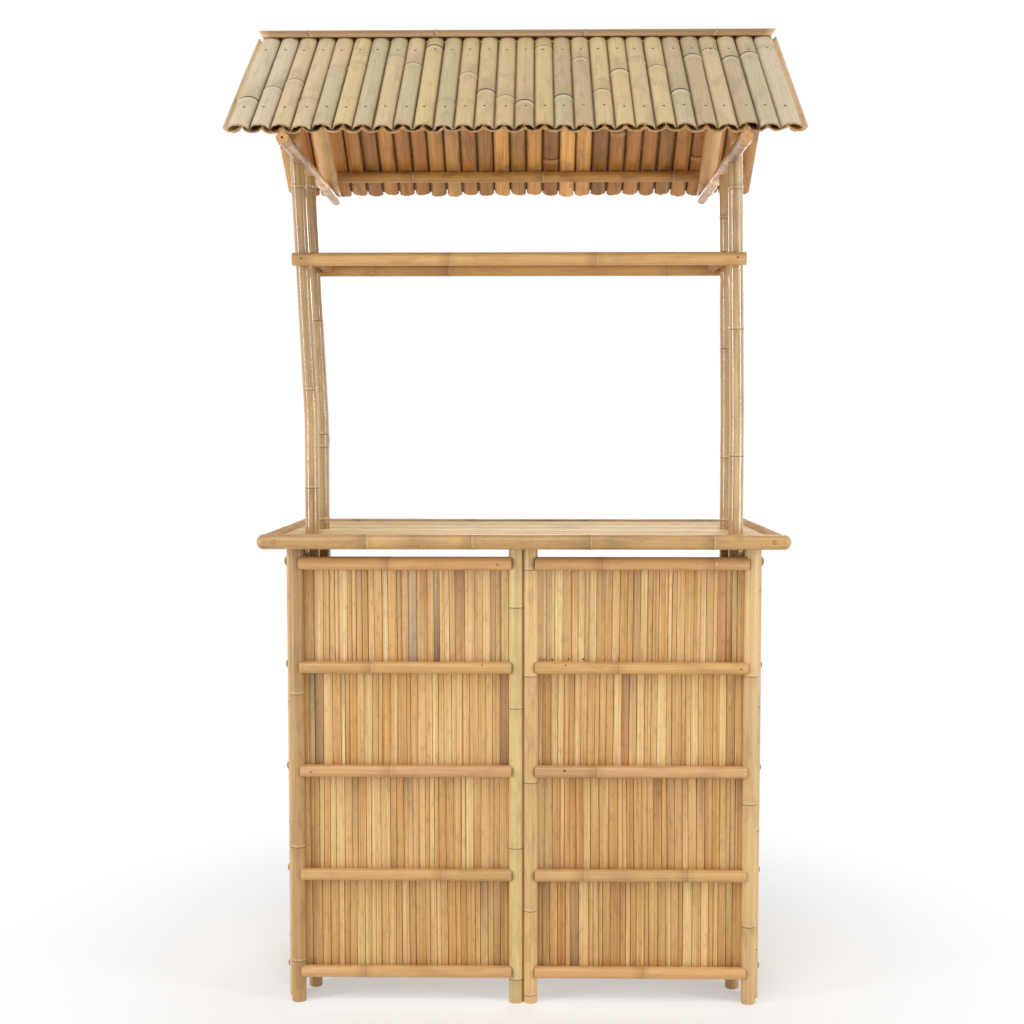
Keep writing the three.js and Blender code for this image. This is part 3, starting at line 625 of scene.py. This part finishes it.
slat_finish = bamboo("split_slats", "e8c58f", "ac7d45", "cb9d60", fine_share=0.95, warm_share=0.4,
                     stain_share=0.35, scar_share=0.0, bloom_share=0.0, width=3.4, length=420.0,
                     gloss=0.45, coat=0.12, relief=0.4, sawn="b98c5a", size=9.0, spread=0.2)
slat_rows = {"front_left": (30, forwards), "front_right": (30, forwards),
             "side_left": (27, (-1, 0, 0)), "side_right": (27, (1, 0, 0))}
slat_nails = {"front_right": [(66.4, 798.5), (85.5, 798.6), (123.4, 799.8), (156.9, 799.9)]}
for i, (panel, (count, face)) in enumerate(slat_rows.items()):
    chance = np.random.default_rng(310 + i)
    low, high, _ = box_of(f"{panel}_slats")
    axis = 0 if panel.startswith("front") else 1
    face_line, inward = (low[1 - axis], 1) if min(face) < 0 else (high[1 - axis], -1)
    heights = [box_of(f"{panel}_rail_{row}")[2][2] for row in range(1, top_rail + 1)]
    heights[0] -= end_bay_overrun
    heights[-1] += end_bay_overrun
    strips = []
    for bay, (bottom, top) in enumerate(zip(heights[:-1], heights[1:])):
        edges = uneven_edges(chance, low[axis], high[axis], count, slat_unevenness)
        slants = np.cumsum(chance.normal(0, slat_lean, count)) * np.sin(np.linspace(0, np.pi, count))
        # How much painted shade each joint between strips gets: about half of them faint, the rest strong.
        joint_shades = np.where(chance.random(count + 1) < 0.5, chance.uniform(0.55, 0.95, count + 1),
                               chance.uniform(0.08, 0.5, count + 1))
        for k in range(count):
            half = (edges[k + 1] - edges[k]) / 2
            half -= wide_gap if chance.random() < wide_gap_share else usual_gap
            base, tip = [0, 0, bottom + slat_end_gap], [0, 0, top - slat_end_gap]
            base[axis] = tip[axis] = (edges[k] + edges[k + 1]) / 2
            set_back = slat_set_back + chance.uniform(-slat_depth_spread, slat_depth_spread)
            base[1 - axis] = tip[1 - axis] = face_line + set_back * inward
            palettes = [odd_slat_tones if chance.random() < share else slat_tones
                        for share in (odd_foot_share, odd_head_share)]
            tone, far_tone = (
                bay_tones[bay] * relative_tone(palette[chance.integers(len(palette))], "cca573")
                for palette in palettes)
            strips.append(strip(slat_section(half, slat_camber, slat_thickness), base, tip, face,
                                chance.integers(1 << 30), tone,
                                (1 - far_share) * tone + far_share * far_tone, slant=slants[k],
                                edge_shade=joint_shades[k:k + 2][::-1]))
    for x, z in slat_nails.get(panel, []):
        strips.append(stud((x, face_line + 0.6, z), face, nail_half, 0.5, nail_tone))
    piece(f"{panel}_slats", strips, slat_finish)


# Counter. Two long culms with rounded ends in front and at the rear, two side culms coped between them,
# and a deck of split slats inside them, on three cross battens that lie on the panels' posts.
counter_radius = 17.0
counter_end_rounding = 15.0
rear_rail_drop = 2
counter_nodes = {"front": [-332, -95, 171, 447], "rear": [-420, -120, 190, 480]}
counter_patches = {"front": [(-217, 55, 0.3), (140, 45, 0.22), (228, 25, 0.28), (-560, 20, 0.15),
                             (-20, 90, 0.12)],
                   "rear": [(100, 80, 0.2)]}
peg_places, small_nail_places = (-541, 580), (-208.0, -201.5)
small_nail_out = np.array([0, -0.84, -0.54])
counter_rail_finish = bamboo("counter_rail_culm", "d7af74", "af8651", "c3965a", bloom="deb984",
                             stain="84663f", stain_share=0.5, bloom_share=0.3, scar_share=0.45,
                             shade_share=0.4, spread=0.2, size=16.0, width=3.4)


def lying_culm(node, radius, nodes, drop=0, **looks):
    """A culm along X through the middle of a node's box, between the box's ends, with its own nodes given
    by their places along X. Its radius may be less than the node's, and it may lie lower by a drop."""
    low, high, (_, y, z) = box_of(node)
    return culm((low[0], y, z - drop), (high[0], y, z - drop), radius, (0, 0, 1),
                [place - low[0] for place in nodes], **looks)


for i, which in enumerate(("front", "rear")):
    node = f"counter_{which}_rail"
    low, _, (_, y, z) = box_of(node)
    parts = [lying_culm(node, counter_radius - i, counter_nodes[which], drop=i * rear_rail_drop,
                        seed=400 + i, rounding=counter_end_rounding, bow=0.5, swell=0.8,
                        patches=[(place - low[0], *patch) for place, *patch in counter_patches[which]])]
    if which == "front":
        front_line = y
        for x in peg_places:
            parts += [stud((x, y - counter_radius, z), forwards, 5.0, 0.7, (0.7, 0.56, 0.42), False),
                      stud((x + 1, y - counter_radius - 0.6, z), forwards, 2.6, 0.5, (0.9, 0.82, 0.72),
                           False)]
        parts += [stud(np.array([x, y, z]) + counter_radius * small_nail_out, small_nail_out, 1.9, 0.8,
                       (1.35, 1.4, 1.5), False) for x in small_nail_places]
    else:
        rear_line = y
    piece(node, parts, counter_rail_finish)

counter_side_finish = bamboo("counter_side_culm", "cfa76e", "a67e4c", "ba8e56", bloom="d4b07c",
                             stain="84663f", scar_share=0.45, coat=0.0, gloss=0.7, width=3.4)
long_culm_meet = coped(counter_radius, lambda p, q: q, 3.0)
for i, which in enumerate(("left", "right")):
    node = f"counter_{which}_rail"
    rail = fitted_culm(node, 1, (front_line, rear_line), counter_radius, long_culm_meet, [245 + 60 * i],
                       seed=410 + i, swell=0.8)
    piece(node, [rail], counter_side_finish)

deck_slat_count = 22
deck_slat_thickness, deck_camber, deck_overrun = 7.8, 1.0, 1.8
deck_unevenness, deck_clearance, deck_joint = 0.2, 2.0, 0.4
batten_half, batten_thickness, batten_top, batten_clearance = 18, 14.0, 1074.0, 1
slat_below_top = 1.2
deck_tones = ["e4c69a", "d8b684", "dcbc8c", "d0aa78", "d4b080", "e8cea4", "c8a26c"]
deck_finish = bamboo("deck_slats", "efd499", "cfab6e", "dab87b", fine_share=0.8, warm_share=0.45,
                     stain_share=0.35, scar_share=0.0, bloom_share=0.0, length=260.0, gloss=0.6,
                     coat=0.05, relief=0.35, sawn="c8a472")
pole_room = 17.6
pole_foot, pole_splay, bend_height, beam_height = 496.55, 10.5, 1350.0, 1953.0
roof_shift = 19.0
pole_lines = {"front": -178.0, "rear": -13.0}


def pole_place(sign, height):
    """Where a pole's axis is at a height: upright over its foot up to the bend, and from there aside in
    even steps until it stands below its place on the roof."""
    share = np.clip((height - bend_height) / (beam_height - bend_height), 0, None)
    return sign * pole_foot + roof_shift + share * (sign * pole_splay - roof_shift)


# Where a slat meets a pole it ends at the pole's round hole, and goes on behind it.
chance = np.random.default_rng(430)
deck_low, deck_high, _ = box_of("counter_deck")
deck_top = deck_high[2]
slat_height = deck_top - slat_below_top
deck_edges = uneven_edges(chance, front_line + counter_radius + deck_clearance,
                          rear_line - counter_radius - deck_clearance, deck_slat_count, deck_unevenness)
deck_parts = []
for near_edge, far_edge in zip(deck_edges[:-1], deck_edges[1:]):
    half = (far_edge - near_edge) / 2 - deck_joint
    y = (far_edge + near_edge) / 2
    tone = relative_tone(deck_tones[chance.integers(len(deck_tones))], "d8b684")
    section = slat_section(half, deck_camber, deck_slat_thickness)
    holes = [(pole_place(sign, deck_top), line) for line in pole_lines.values() for sign in (-1, 1)
             if abs(y - line) < pole_room + half]
    stops = [(deck_low[0] - deck_overrun, None), *sorted(holes), (deck_high[0] + deck_overrun, None)]
    for (from_x, from_line), (to_x, to_line) in zip(stops[:-1], stops[1:]):
        # Each deck slat has strip's painted shade along its edges and back, for the joints between slats.
        part = strip(section, (from_x, y, slat_height), (to_x, y, slat_height), (0, 0, 1),
                     chance.integers(1 << 30), tone)
        for line, rows, way in ((from_line, slice(0, 2), 1), (to_line, slice(3, 5), -1)):
            if line is not None:
                fibres = part["grid"][rows, :, 1]
                room = np.sqrt(np.maximum(pole_room ** 2 - (fibres - line) ** 2, 0))
                part["grid"][rows, :, 0] += way * room
        deck_parts.append(part)
side_lines = [box_of(f"side_{side}_front_post")[2][0] for side in ("left", "right")]
batten_reach = counter_radius + batten_clearance
# The cross battens are near black: painted shade for the dark under the deck.
for k, x in enumerate((side_lines[0], roof_shift, side_lines[1])):
    deck_parts.append(strip(slat_section(batten_half, 0.0, batten_thickness),
                            (x, front_line + batten_reach, batten_top),
                            (x, rear_line - batten_reach, batten_top), (0, 0, 1), 440 + k,
                            (0.32, 0.25, 0.2)))
piece("counter_deck", deck_parts, deck_finish)


# Roof poles. Four slim whole culms that stand on the floor inside the bar, come up through the deck and
# are saddled under the tie beams, with a strong varnish that shows long bright lines.
pole_radius = 16.5
beam_radius = 14.0
beam_place = 498.55
saddle_lip = 8.0
pole_tones = {-1: (0.92, 0.88, 0.82), 1: (1, 1, 1)}
pole_nodes = {
    ("front", -1): ([310, 720, 1192, 1421, 1888], []),
    ("front", 1): ([280, 640, 960, 1267, 1561, 1883], []),
    ("rear", -1): ([350, 730, 1107, 1286, 1318, 1595, 1916], [(1300, 0.0)]),
    ("rear", 1): ([260, 700, 1106, 1260, 1526, 1840], [(1283, 3.1)]),
}
pole_culm = bamboo("pole_culm", "e6ca98", "8a6636", "b88c54", bloom="e6cc9c", scar="6b4526",
                   fine_share=1.0, warm_share=0.5, stain_share=0.3, width=4.4, length=420.0, coat=0.9,
                   sheen=0.09, gloss=0.32, shade_share=0.15, bloom_share=0.3)
for i, ((depth, sign), (nodes, buds)) in enumerate(pole_nodes.items()):
    line = pole_lines[depth]
    foot = pole_place(sign, 0)
    offset = pole_place(sign, beam_height) - sign * beam_place

    def saddle(p, q):
        """A pole's fibre ends at the underside of the round tie beam, or a little higher outside it."""
        away = p + offset
        under = np.sqrt(np.maximum((beam_radius + seat_gap) ** 2 - away ** 2, 0))
        return np.where(sign * away > beam_radius + 0.3, -saddle_lip, under)

    pole = culm((foot, line, 0), (foot, line, beam_height), pole_radius, (0, 1, 0), nodes, seed=500 + i,
                tail=saddle, buds=buds, oval=0.02, swell=1.0, tone=pole_tones[sign],
                shift=lambda s: pole_place(sign, np.minimum(s, beam_height)) - foot)
    piece(f"{depth}_pole_{'left' if sign < 0 else 'right'}", [pole], pole_culm)


# Crossbars and short ties. A long culm is nailed across the front of the front poles and one across the
# back of the rear poles, and two short ones are coped between them beside the poles.
crossbar_radius, short_tie_radius = 15.0, 13.0
tie_lift = 5
crossbar_looks = {
    "front": ([-149, 187], dict(tone=(1.04, 1.06, 1.02), patches=[(29, 8, 0.25)])),
    "rear": ([-355, -166, 370], dict(tone=(0.86, 0.8, 0.66))),
}
crossbar_nails = {"front": (-491.5, 508.3)}
for i, (which, (nodes, looks)) in enumerate(crossbar_looks.items()):
    node = f"{which}_crossbar"
    _, y, z = box_of(node)[2]
    parts = [lying_culm(node, crossbar_radius, nodes, seed=520 + i, bow=-1.0, wall=4.0, swell=0.8, **looks)]
    parts += [stud((x, y - crossbar_radius, z + 1), forwards, nail_half, 0.8, nail_tone)
              for x in crossbar_nails.get(which, [])]
    piece(node, parts, honey_culm)

# The short ties' finish is a darker, matt copy of the rail bamboo; its darker colour is painted shade.
shaded_tie_culm = bamboo("shaded_tie_culm", "b98c55", "8d6338", "9c7040", scar="5a3c20", coat=0.0, gloss=0.65)
crossbar_meet = coped(crossbar_radius, lambda p, q: q + tie_lift, 4.0)
crossbar_lines = [box_of(f"{which}_crossbar")[2][1] for which in crossbar_looks]
for i, which in enumerate(("left", "right")):
    node = f"short_tie_{which}"
    tie = fitted_culm(node, 1, crossbar_lines, short_tie_radius, crossbar_meet, [90 + 20 * i],
                      seed=530 + i, swell=0.8)
    piece(node, [tie], shaded_tie_culm)


# Tie beams. Two whole culms from eave to eave on the poles, greyish from the weather, with sawn hollow
# ends, and paler on the rear half, partly from the weathering and partly as painted sheen. Their ends are
# shaved where the lower half culms rest on them.
pitch = math.radians(35.7)
rafter_foot = 340.0
head_height = beam_height + rafter_foot * math.tan(pitch)
tile_pitch = beam_place / 11.5
lower_out, upper_out = 50.6, 57.0
tile_half, tile_rise, tile_wall = 20.9, 13.5, 3.4
beam_set_back = 6
# Each beam's nodes, wall and patches; a patch with a depth below nought is paler, and those on the rear half
# are partly grey weathering and partly painted sheen.
beam_looks = {
    "left": ([40, 250, 622], 11.6, [(200, 60, 0.25), (110, 40, 0.15), (545, 105, -0.7)]),
    "right": ([48, 300, 563], 13.0, [(175, 55, 0.5), (90, 30, 0.2), (520, 115, -0.7)]),
}


def covering_underside(x, y):
    """Height of the lower half culms' underside: the slope's own fall, plus for each half culm the arch of
    a half ellipse whose lowest line is the layer's underside."""
    off = (x / tile_pitch + 0.5) % 1 - 0.5
    arch = tile_rise * (1 - np.sqrt(np.maximum(1 - (off * tile_pitch / tile_half) ** 2, 0)))
    out = lower_out + arch
    along = (np.abs(y) - out * math.sin(pitch)) / math.cos(pitch)
    return head_height - along * math.sin(pitch) + out * math.cos(pitch)


beam_finish = bamboo("beam_culm", "e3bb8b", "9c6f43", "bd8c5f", bloom="dcc09c", scar="4e3424",
                     stain="5c4028", stain_share=0.5, coat=0.25, gloss=0.36, sawn="c4905c",
                     length=120.0, size=14.0, width=3.4)
for i, (which, (nodes, wall, patches)) in enumerate(beam_looks.items()):
    node = f"tie_beam_{which}"
    low, high, _ = box_of(node)
    x = (-1, 1)[i] * beam_place
    beam = culm((x, low[1] + beam_set_back, beam_height), (x, high[1], beam_height), beam_radius,
                (0, 0, 1), nodes, seed=544 + i, bore=8, wall=wall, swell=0.7, patches=patches)
    grid = beam["grid"]
    grid[..., 2] = np.minimum(grid[..., 2], covering_underside(grid[..., 0], grid[..., 1]) - seat_gap)
    piece(node, [beam], beam_finish)


# Rafters and purlins. Two thick culms stand on each tie beam and lean together at the ridge, and on each
# slope two slim ones lie across them and carry the split culms.
rafter_radius = 22.0
purlin_radius = 14.0
rafter_along = rafter_foot / math.cos(pitch)
ridge_gap = 0.15
slopes = {"front": -1, "rear": 1}
purlin_nodes = {"eave": [-265, 71, 430], "ridge": [-380, 110]}


def on_slope(sign, x, along, out):
    """A place on a slope: down the rafters' axis from the ridge by along, and square out from it by out."""
    y = sign * (along * math.cos(pitch) + out * math.sin(pitch))
    z = head_height - along * math.sin(pitch) + out * math.cos(pitch)
    return np.stack(np.broadcast_arrays(x, y, z), -1)


def at_ridge(p, q):
    """A rafter's fibre is cut off at the upright plane through the ridge."""
    return (ridge_gap - q * math.sin(pitch)) / math.cos(pitch)


def at_beam(p, q):
    """A rafter's fibre is cut off at the tie beam's round top, or level with its axis beside it."""
    top = np.sqrt(np.maximum((beam_radius + seat_gap) ** 2 - p ** 2, 0))
    return rafter_along - (rafter_foot * math.tan(pitch) + q * math.cos(pitch) - top) / math.sin(pitch)


rafter_finish = bamboo("rafter_culm", "e5ba7e", "bc8d54", "cf9f63", bloom="e8cfa0", coat=0.5, width=3.0)
purlin_finish = bamboo("purlin_culm", "d1a159", "9f7035", "b17f40", bloom="c0a478", scar="4f3218",
                       stain="654a2c", stain_share=0.4)
for slope, sign in slopes.items():
    for i, which in enumerate(("left", "right")):
        x = (-1, 1)[i] * beam_place
        out_way = (0, sign * math.sin(pitch), math.cos(pitch))
        rafter = culm(on_slope(sign, x, 0, 0), on_slope(sign, x, rafter_along, 0), rafter_radius,
                      out_way, [150 + 20 * i, 372], seed=550 + 2 * i + sign, head=at_ridge,
                      tail=at_beam, bore=fitted_bore, wall=6.0, fitted=True)
        piece(f"{slope}_rafter_{which}", [rafter], rafter_finish)
for slope in slopes:
    for kind, nodes in purlin_nodes.items():
        node = f"{slope}_{kind}_purlin"
        between_tiles = [(round(place / tile_pitch - 0.5) + 0.5) * tile_pitch for place in nodes]
        purlin = lying_culm(node, purlin_radius, between_tiles, seed=560 + len(node), wall=4.0)
        piece(node, [purlin], purlin_finish)


# Roof covering. Culms split in half lie side by side on the purlins with their hollow up, and others over
# their joints with their hollow down, each nailed near its head and near its foot.
tile_count = 28
lower_start, lower_end = -35.7, 479.0
upper_start, upper_end = -39.9, 474.8
outline_points = 15
tile_ring_half = 4
tile_groove_depth, tile_groove_below, tile_groove_half = 1.1, 8, 2.4
tile_collar_share, tile_collar_past, tile_collar_half = 0.4, 8, 6.0
node_arch, node_arch_shift, node_arch_half = 3.5, 1.5, 16
tile_ripple, end_skew, end_splinter = 0.35, 2.4, 1.0
tone_along, tone_step = 0.35, 12
# Painted shade along the edges of a half culm's skin: its tone at the edge, the power of its rise, and the
# height over which it rises on the upper and on the lower half culms.
rim_shade, rim_power, rim_down, rim_up = 0.4, 0.7, 5.5, 10.0
head_nail, foot_nail = 48, 379
head_spread, lower_foot_spread, upper_foot_spread = 2, 7, 9
lower_node_share, lower_roll, upper_roll = 0.45, 0.012, 0.015
outward_shift, outermost_shift, place_spread = 8, 1.5, 0.6
outermost_widening = 1.4
front_tile_nodes = [330, 269, 229, 342, 160, 136, None, 94, 131, 26, 351, 192, 291, 324, 352, 29, 320,
                    105, 293, 178, 113, 155, 295, 90, 53, 103, 79, 42]


def half_culm(sign, x, start, end, base, hollow_down, half, rise, node, seed, tone, far_tone, roll=0.0,
              swell=1.2, mark=0.4, hollow=0.5):
    """Half a culm on a slope. Its section is a half ellipse and a smaller one inside it, and a point of it
    at distance s down the slope is moved out by a low ring at the node and a broad one past it, and in by
    a thin groove before it, which all bend down the slope towards the edges. Its end at the eave is sawn
    a little askew with an uneven edge, and its head is cut upright to meet the other slope. Its tone runs
    from one to the other, past the node most of all, is darkened with painted shade along its edges, and is
    scaled in the hollow by a factor, which is painted shade where the hollow is covered. mark is how much
    the marks at the node are squeezed along it."""
    chance = np.random.default_rng(seed)
    turn = np.radians(np.linspace(6, 174, outline_points))
    outer = np.stack([half * np.cos(turn), rise * np.sin(turn)], -1)
    inner = np.stack([(half - tile_wall) * np.cos(turn), (rise - tile_wall) * np.sin(turn)], -1)[::-1]
    section = np.concatenate([outer, inner])
    away = np.concatenate([outer / np.linalg.norm(outer, axis=1)[:, None], 0 * inner])
    close = np.array([-18, -12, -10, -8, -6, -3.5, 0, 2.5, 6, 12.0])
    length = end - start
    even = np.linspace(0, length, 9)
    near = [] if node is None else node - start + close
    s = np.unique(np.concatenate([even[1:-1], near]))
    s = np.concatenate([[0.0, 0.8], s[(s > 3) & (s < length - 3)], [length - 0.8, length]])
    gap = np.full(len(s), no_node) if node is None else s - (node - start)
    ring = (swell * hill(gap, tile_ring_half)
            - tile_groove_depth * hill(gap + tile_groove_below, tile_groove_half))
    ring += tile_collar_share * swell * hill(gap - tile_collar_past, tile_collar_half)
    skew = chance.normal(0, end_skew) * section[:, 0] / half
    skew = skew + chance.normal(0, end_splinter, len(section))
    skew = skew - skew.max()
    share = s / length
    p = section[:, 0] + ring[:, None] * away[:, 0]
    q = section[:, 1] + ring[:, None] * away[:, 1]
    q = q + tile_ripple * np.sin(np.pi * 2 * share + chance.uniform(0, 6))[:, None]
    p = np.clip(p, -half - 0.4, half + 0.4)
    along = start + s[:, None] + skew * (s > length - 1)[:, None]
    if node is not None:
        arch = node_arch * (section[:, 0] / half) ** 2 - node_arch_shift
        along = along + hill(gap, node_arch_half)[:, None] * arch
    along = np.minimum(along, end)
    across, out = p * math.cos(roll) - q * math.sin(roll), p * math.sin(roll) + q * math.cos(roll)
    flip = 1.0 if hollow_down else -1.0
    out = base + flip * np.maximum(out, 0.0)
    along = np.where(s[:, None] < 1, s[:, None] + 0.4 - out * math.tan(pitch), along)
    skin = np.stack([p, q, np.broadcast_to(s[:, None], p.shape)], -1) + chance.uniform(0, 900, 3)
    ends = np.where((share < 0.001) | (share > 0.999), 0.5, 0.0)[:, None]
    past = share
    if node is not None:
        past = tone_along * share + (1 - tone_along) * np.clip(gap / tone_step + 0.5, 0, 1)
    tone, far_tone = np.array(tone, float), np.array(far_tone, float)
    # Painted shade: the skin darker towards its edges, rising to full tone at the crown, and the hollow
    # scaled by its factor.
    rim = np.clip((q[0, :len(outer)] - 0.5) / (rim_down if hollow_down else rim_up), 0, 1) ** rim_power
    painted_shade = np.concatenate([(rim_shade + (1 - rim_shade) * rim)[:, None] + np.zeros(3),
                           np.zeros((len(inner), 3)) + hollow])
    fields = {"grid": on_slope(sign, x + across, along, out), "skin": skin,
              "node": np.broadcast_to(mark * gap[:, None], p.shape), "cut": np.broadcast_to(ends, p.shape),
              "tone": (tone + (far_tone - tone) * past[:, None, None]) * painted_shade}
    if flip * sign > 0:
        fields = {key: value[:, ::-1] for key, value in fields.items()}
    return {**fields, "end": "ladder"}


def foot_of(chance, k, layer_end, most):
    """Where half culm k of a layer ends: up to most short of the layer's end, but every seventh at it."""
    return layer_end - (0 if k % 7 == 3 else chance.uniform(0, most))


weathered_tile = bamboo("weathered_tile", "d6bf90", "bca370", "ccaf7f", bloom="e6d6ae", scar="3e2c18",
                        stain="8f7d56", stain_share=0.3, fine_share=0.6, warm_share=0.4,
                        scar_share=0.95, bloom_share=0.4, shade_share=0.3, sawn="ac8a5e", width=3.4,
                        length=160.0, coat=0.2, gloss=0.45)
brown_tile = bamboo("brown_tile", "d89a4b", "9b642a", "b97b38", bloom="d0a468", scar="3c220e",
                    stain="64482a", stain_share=0.4, sawn="b88c5c", width=3.4, length=240.0, coat=0.45,
                    gloss=0.32)
# Each colour of the upper half culms, with those that have it and those that have it only above their node.
tile_colours = {
    "d4c09d": ([0, 1, 27], []),
    "d3ba90": ([2, 13], [4, 8, 25]),
    "d2bb8e": ([3, 7, 11, 12, 18, 20, 24], [14, 17, 26]),
    "d5be8b": ([5, 9, 15, 19, 21], [18, 24]),
    "c5b68f": ([4, 6, 8, 10, 16, 22, 26], [7]),
    "c0aa84": ([14, 17, 23, 25], [16, 22]),
}
lower_tones = ["c09058", "a07040", "d4a66c", "8a6238", "b08048", "86683f", "dcb078", "98683a"]
lower_edge_tone = 0.75
edge_hollow = np.array([1.7, 2.6, 6.4])
edge_light, middle_light = np.array([1, 1.05, 1.15]), np.array([0.95, 0.92, 0.82])

for slope, sign in slopes.items():
    chance = np.random.default_rng(600 + sign)
    tiles = []
    for k in range(tile_count + 1):
        x = (k - tile_count / 2) * tile_pitch
        tone, far_tone = (relative_tone(code, "b08048") for code in chance.choice(lower_tones, 2))
        node = chance.uniform(40, 440) if chance.random() < lower_node_share else None
        edge = k in (0, tile_count)
        if edge:
            tone, far_tone = lower_edge_tone * tone, lower_edge_tone * far_tone
        # A covered hollow is scaled down to 0.4 as painted shade; an outermost half culm's open hollow gets
        # a pale colour instead.
        tiles.append(half_culm(sign, x, lower_start + chance.uniform(0, head_spread),
                               foot_of(chance, k, lower_end, lower_foot_spread),
                               lower_out + tile_rise, False, tile_half - chance.uniform(0, 0.7),
                               tile_rise - chance.uniform(0, 0.8), node, chance.integers(1 << 30),
                               tone, 0.5 * (tone + far_tone),
                               roll=0 if edge else chance.normal(0, lower_roll),
                               hollow=edge_hollow / tone if edge else 0.4))
    piece(f"{slope}_lower_tiles", tiles, brown_tile)

    tiles = []
    upper_share = np.linspace(-1, 1, tile_count)
    upper_places = upper_share * (tile_count - 1) / 2 * tile_pitch + outward_shift * upper_share ** 3
    upper_places[[0, -1]] += (-outermost_shift, outermost_shift)
    upper_places[1:-1] += chance.uniform(-place_spread, place_spread, tile_count - 2)
    for k, x in enumerate(upper_places):
        shown = k if sign < 0 else (11 * k + 5) % tile_count
        foot_code = next(code for code, (tiles_of, _) in tile_colours.items() if shown in tiles_of)
        head_code = next((code for code, (_, heads) in tile_colours.items() if shown in heads), foot_code)
        outward = abs(upper_share[k])
        light = edge_light ** outward * middle_light ** (1 - outward)
        tone, far_tone = (light * relative_tone(code, "d0bb8e") for code in (head_code, foot_code))
        node = front_tile_nodes[k] if sign < 0 else chance.uniform(20, 380)
        tiles.append(half_culm(sign, x, upper_start + chance.uniform(0, head_spread),
                               foot_of(chance, k, upper_end, upper_foot_spread), upper_out, True,
                               tile_half + 0.4 + 0.9 * upper_share[k] ** 2 - chance.uniform(-0.2, 0.6)
                               + (outermost_widening if k in (0, tile_count - 1) else 0),
                               tile_rise - chance.uniform(0, 1.2), node, chance.integers(1 << 30),
                               tone, far_tone, roll=chance.normal(0, upper_roll),
                               swell=0.4 if chance.random() < 0.3 else chance.uniform(1.0, 1.9),
                               mark=(0.33, 0.42, 0.9)[chance.integers(3)]))
    out_way = np.array([0, sign * math.sin(pitch), math.cos(pitch)])
    down = np.array([0, sign * math.cos(pitch), -math.sin(pitch)])
    for x in upper_places:
        for along in (head_nail, foot_nail):
            place = on_slope(sign, x + chance.normal(0, 1.5), along + chance.normal(0, 2),
                             upper_out + tile_rise - 0.7)
            tiles += [stud(place + 1.5 * down, out_way, (5.2, 6.2), 0.6, (1.08, 1.08, 1.08), False),
                      stud(place, out_way, (3.8, 4.4), 0.9, (0.6, 0.5, 0.4))]
    piece(f"{slope}_upper_tiles", tiles, weathered_tile)


# Ridge cap. Half a culm laid over the two slopes' heads, hollow down, with its ends sawn at a slant. It is
# brown and weathered, and keeps its rings at the nodes.
cap_radius, cap_wall, cap_slant = 22.0, 4.5, 12.0
cap_ring_half, cap_groove_depth, cap_groove_below = 3.0, 0.6, 4.6
cap_low, cap_high, _ = box_of("ridge_cap")
cap_nodes = [120, 430, 167 - cap_low[0], 1110]
cap_length = cap_high[0] - cap_low[0]
turn = np.radians(np.linspace(0, 180, 17))
arc = np.stack([np.cos(turn), np.sin(turn)], -1)
ring = np.concatenate([cap_radius * arc, (cap_radius - cap_wall) * arc[::-1]])
s = stations_along(cap_length, cap_nodes)
gap = s[:, None] - np.array(cap_nodes)
nearest = gap[np.arange(len(s)), np.abs(gap).argmin(1)]
swell = hill(nearest, cap_ring_half) - cap_groove_depth * hill(nearest + cap_groove_below, 1.0) - 1.0
scale = 1 + swell[:, None] * np.repeat([1, 0], len(arc)) / cap_radius
p, q = ring[:, 0] * scale, ring[:, 1] * scale
slant = cap_slant * (1 - ring[:, 1] / cap_radius)
along = slant + (cap_length - 2 * slant) * (s / cap_length)[:, None]
cap = {"grid": np.stack([cap_low[0] + along, p, cap_high[2] - cap_radius + q], -1),
       "skin": np.stack([p, q, along], -1) + 333.0,
       "node": np.broadcast_to(nearest[:, None], p.shape),
       "cut": np.broadcast_to(np.where((s < 0.1) | (s > cap_length - 0.1), 0.5, 0.0)[:, None], p.shape),
       "end": "ladder", "tone": np.ones(p.shape + (3,))}
cap_finish = bamboo("ridge_cap_culm", "a67e48", "845f30", "956e3a", bloom="d0ae80", scar="5a3c20",
                    stain="7c5e3a", stain_share=0.4, shade_share=0.3)
piece("ridge_cap", [cap], cap_finish)
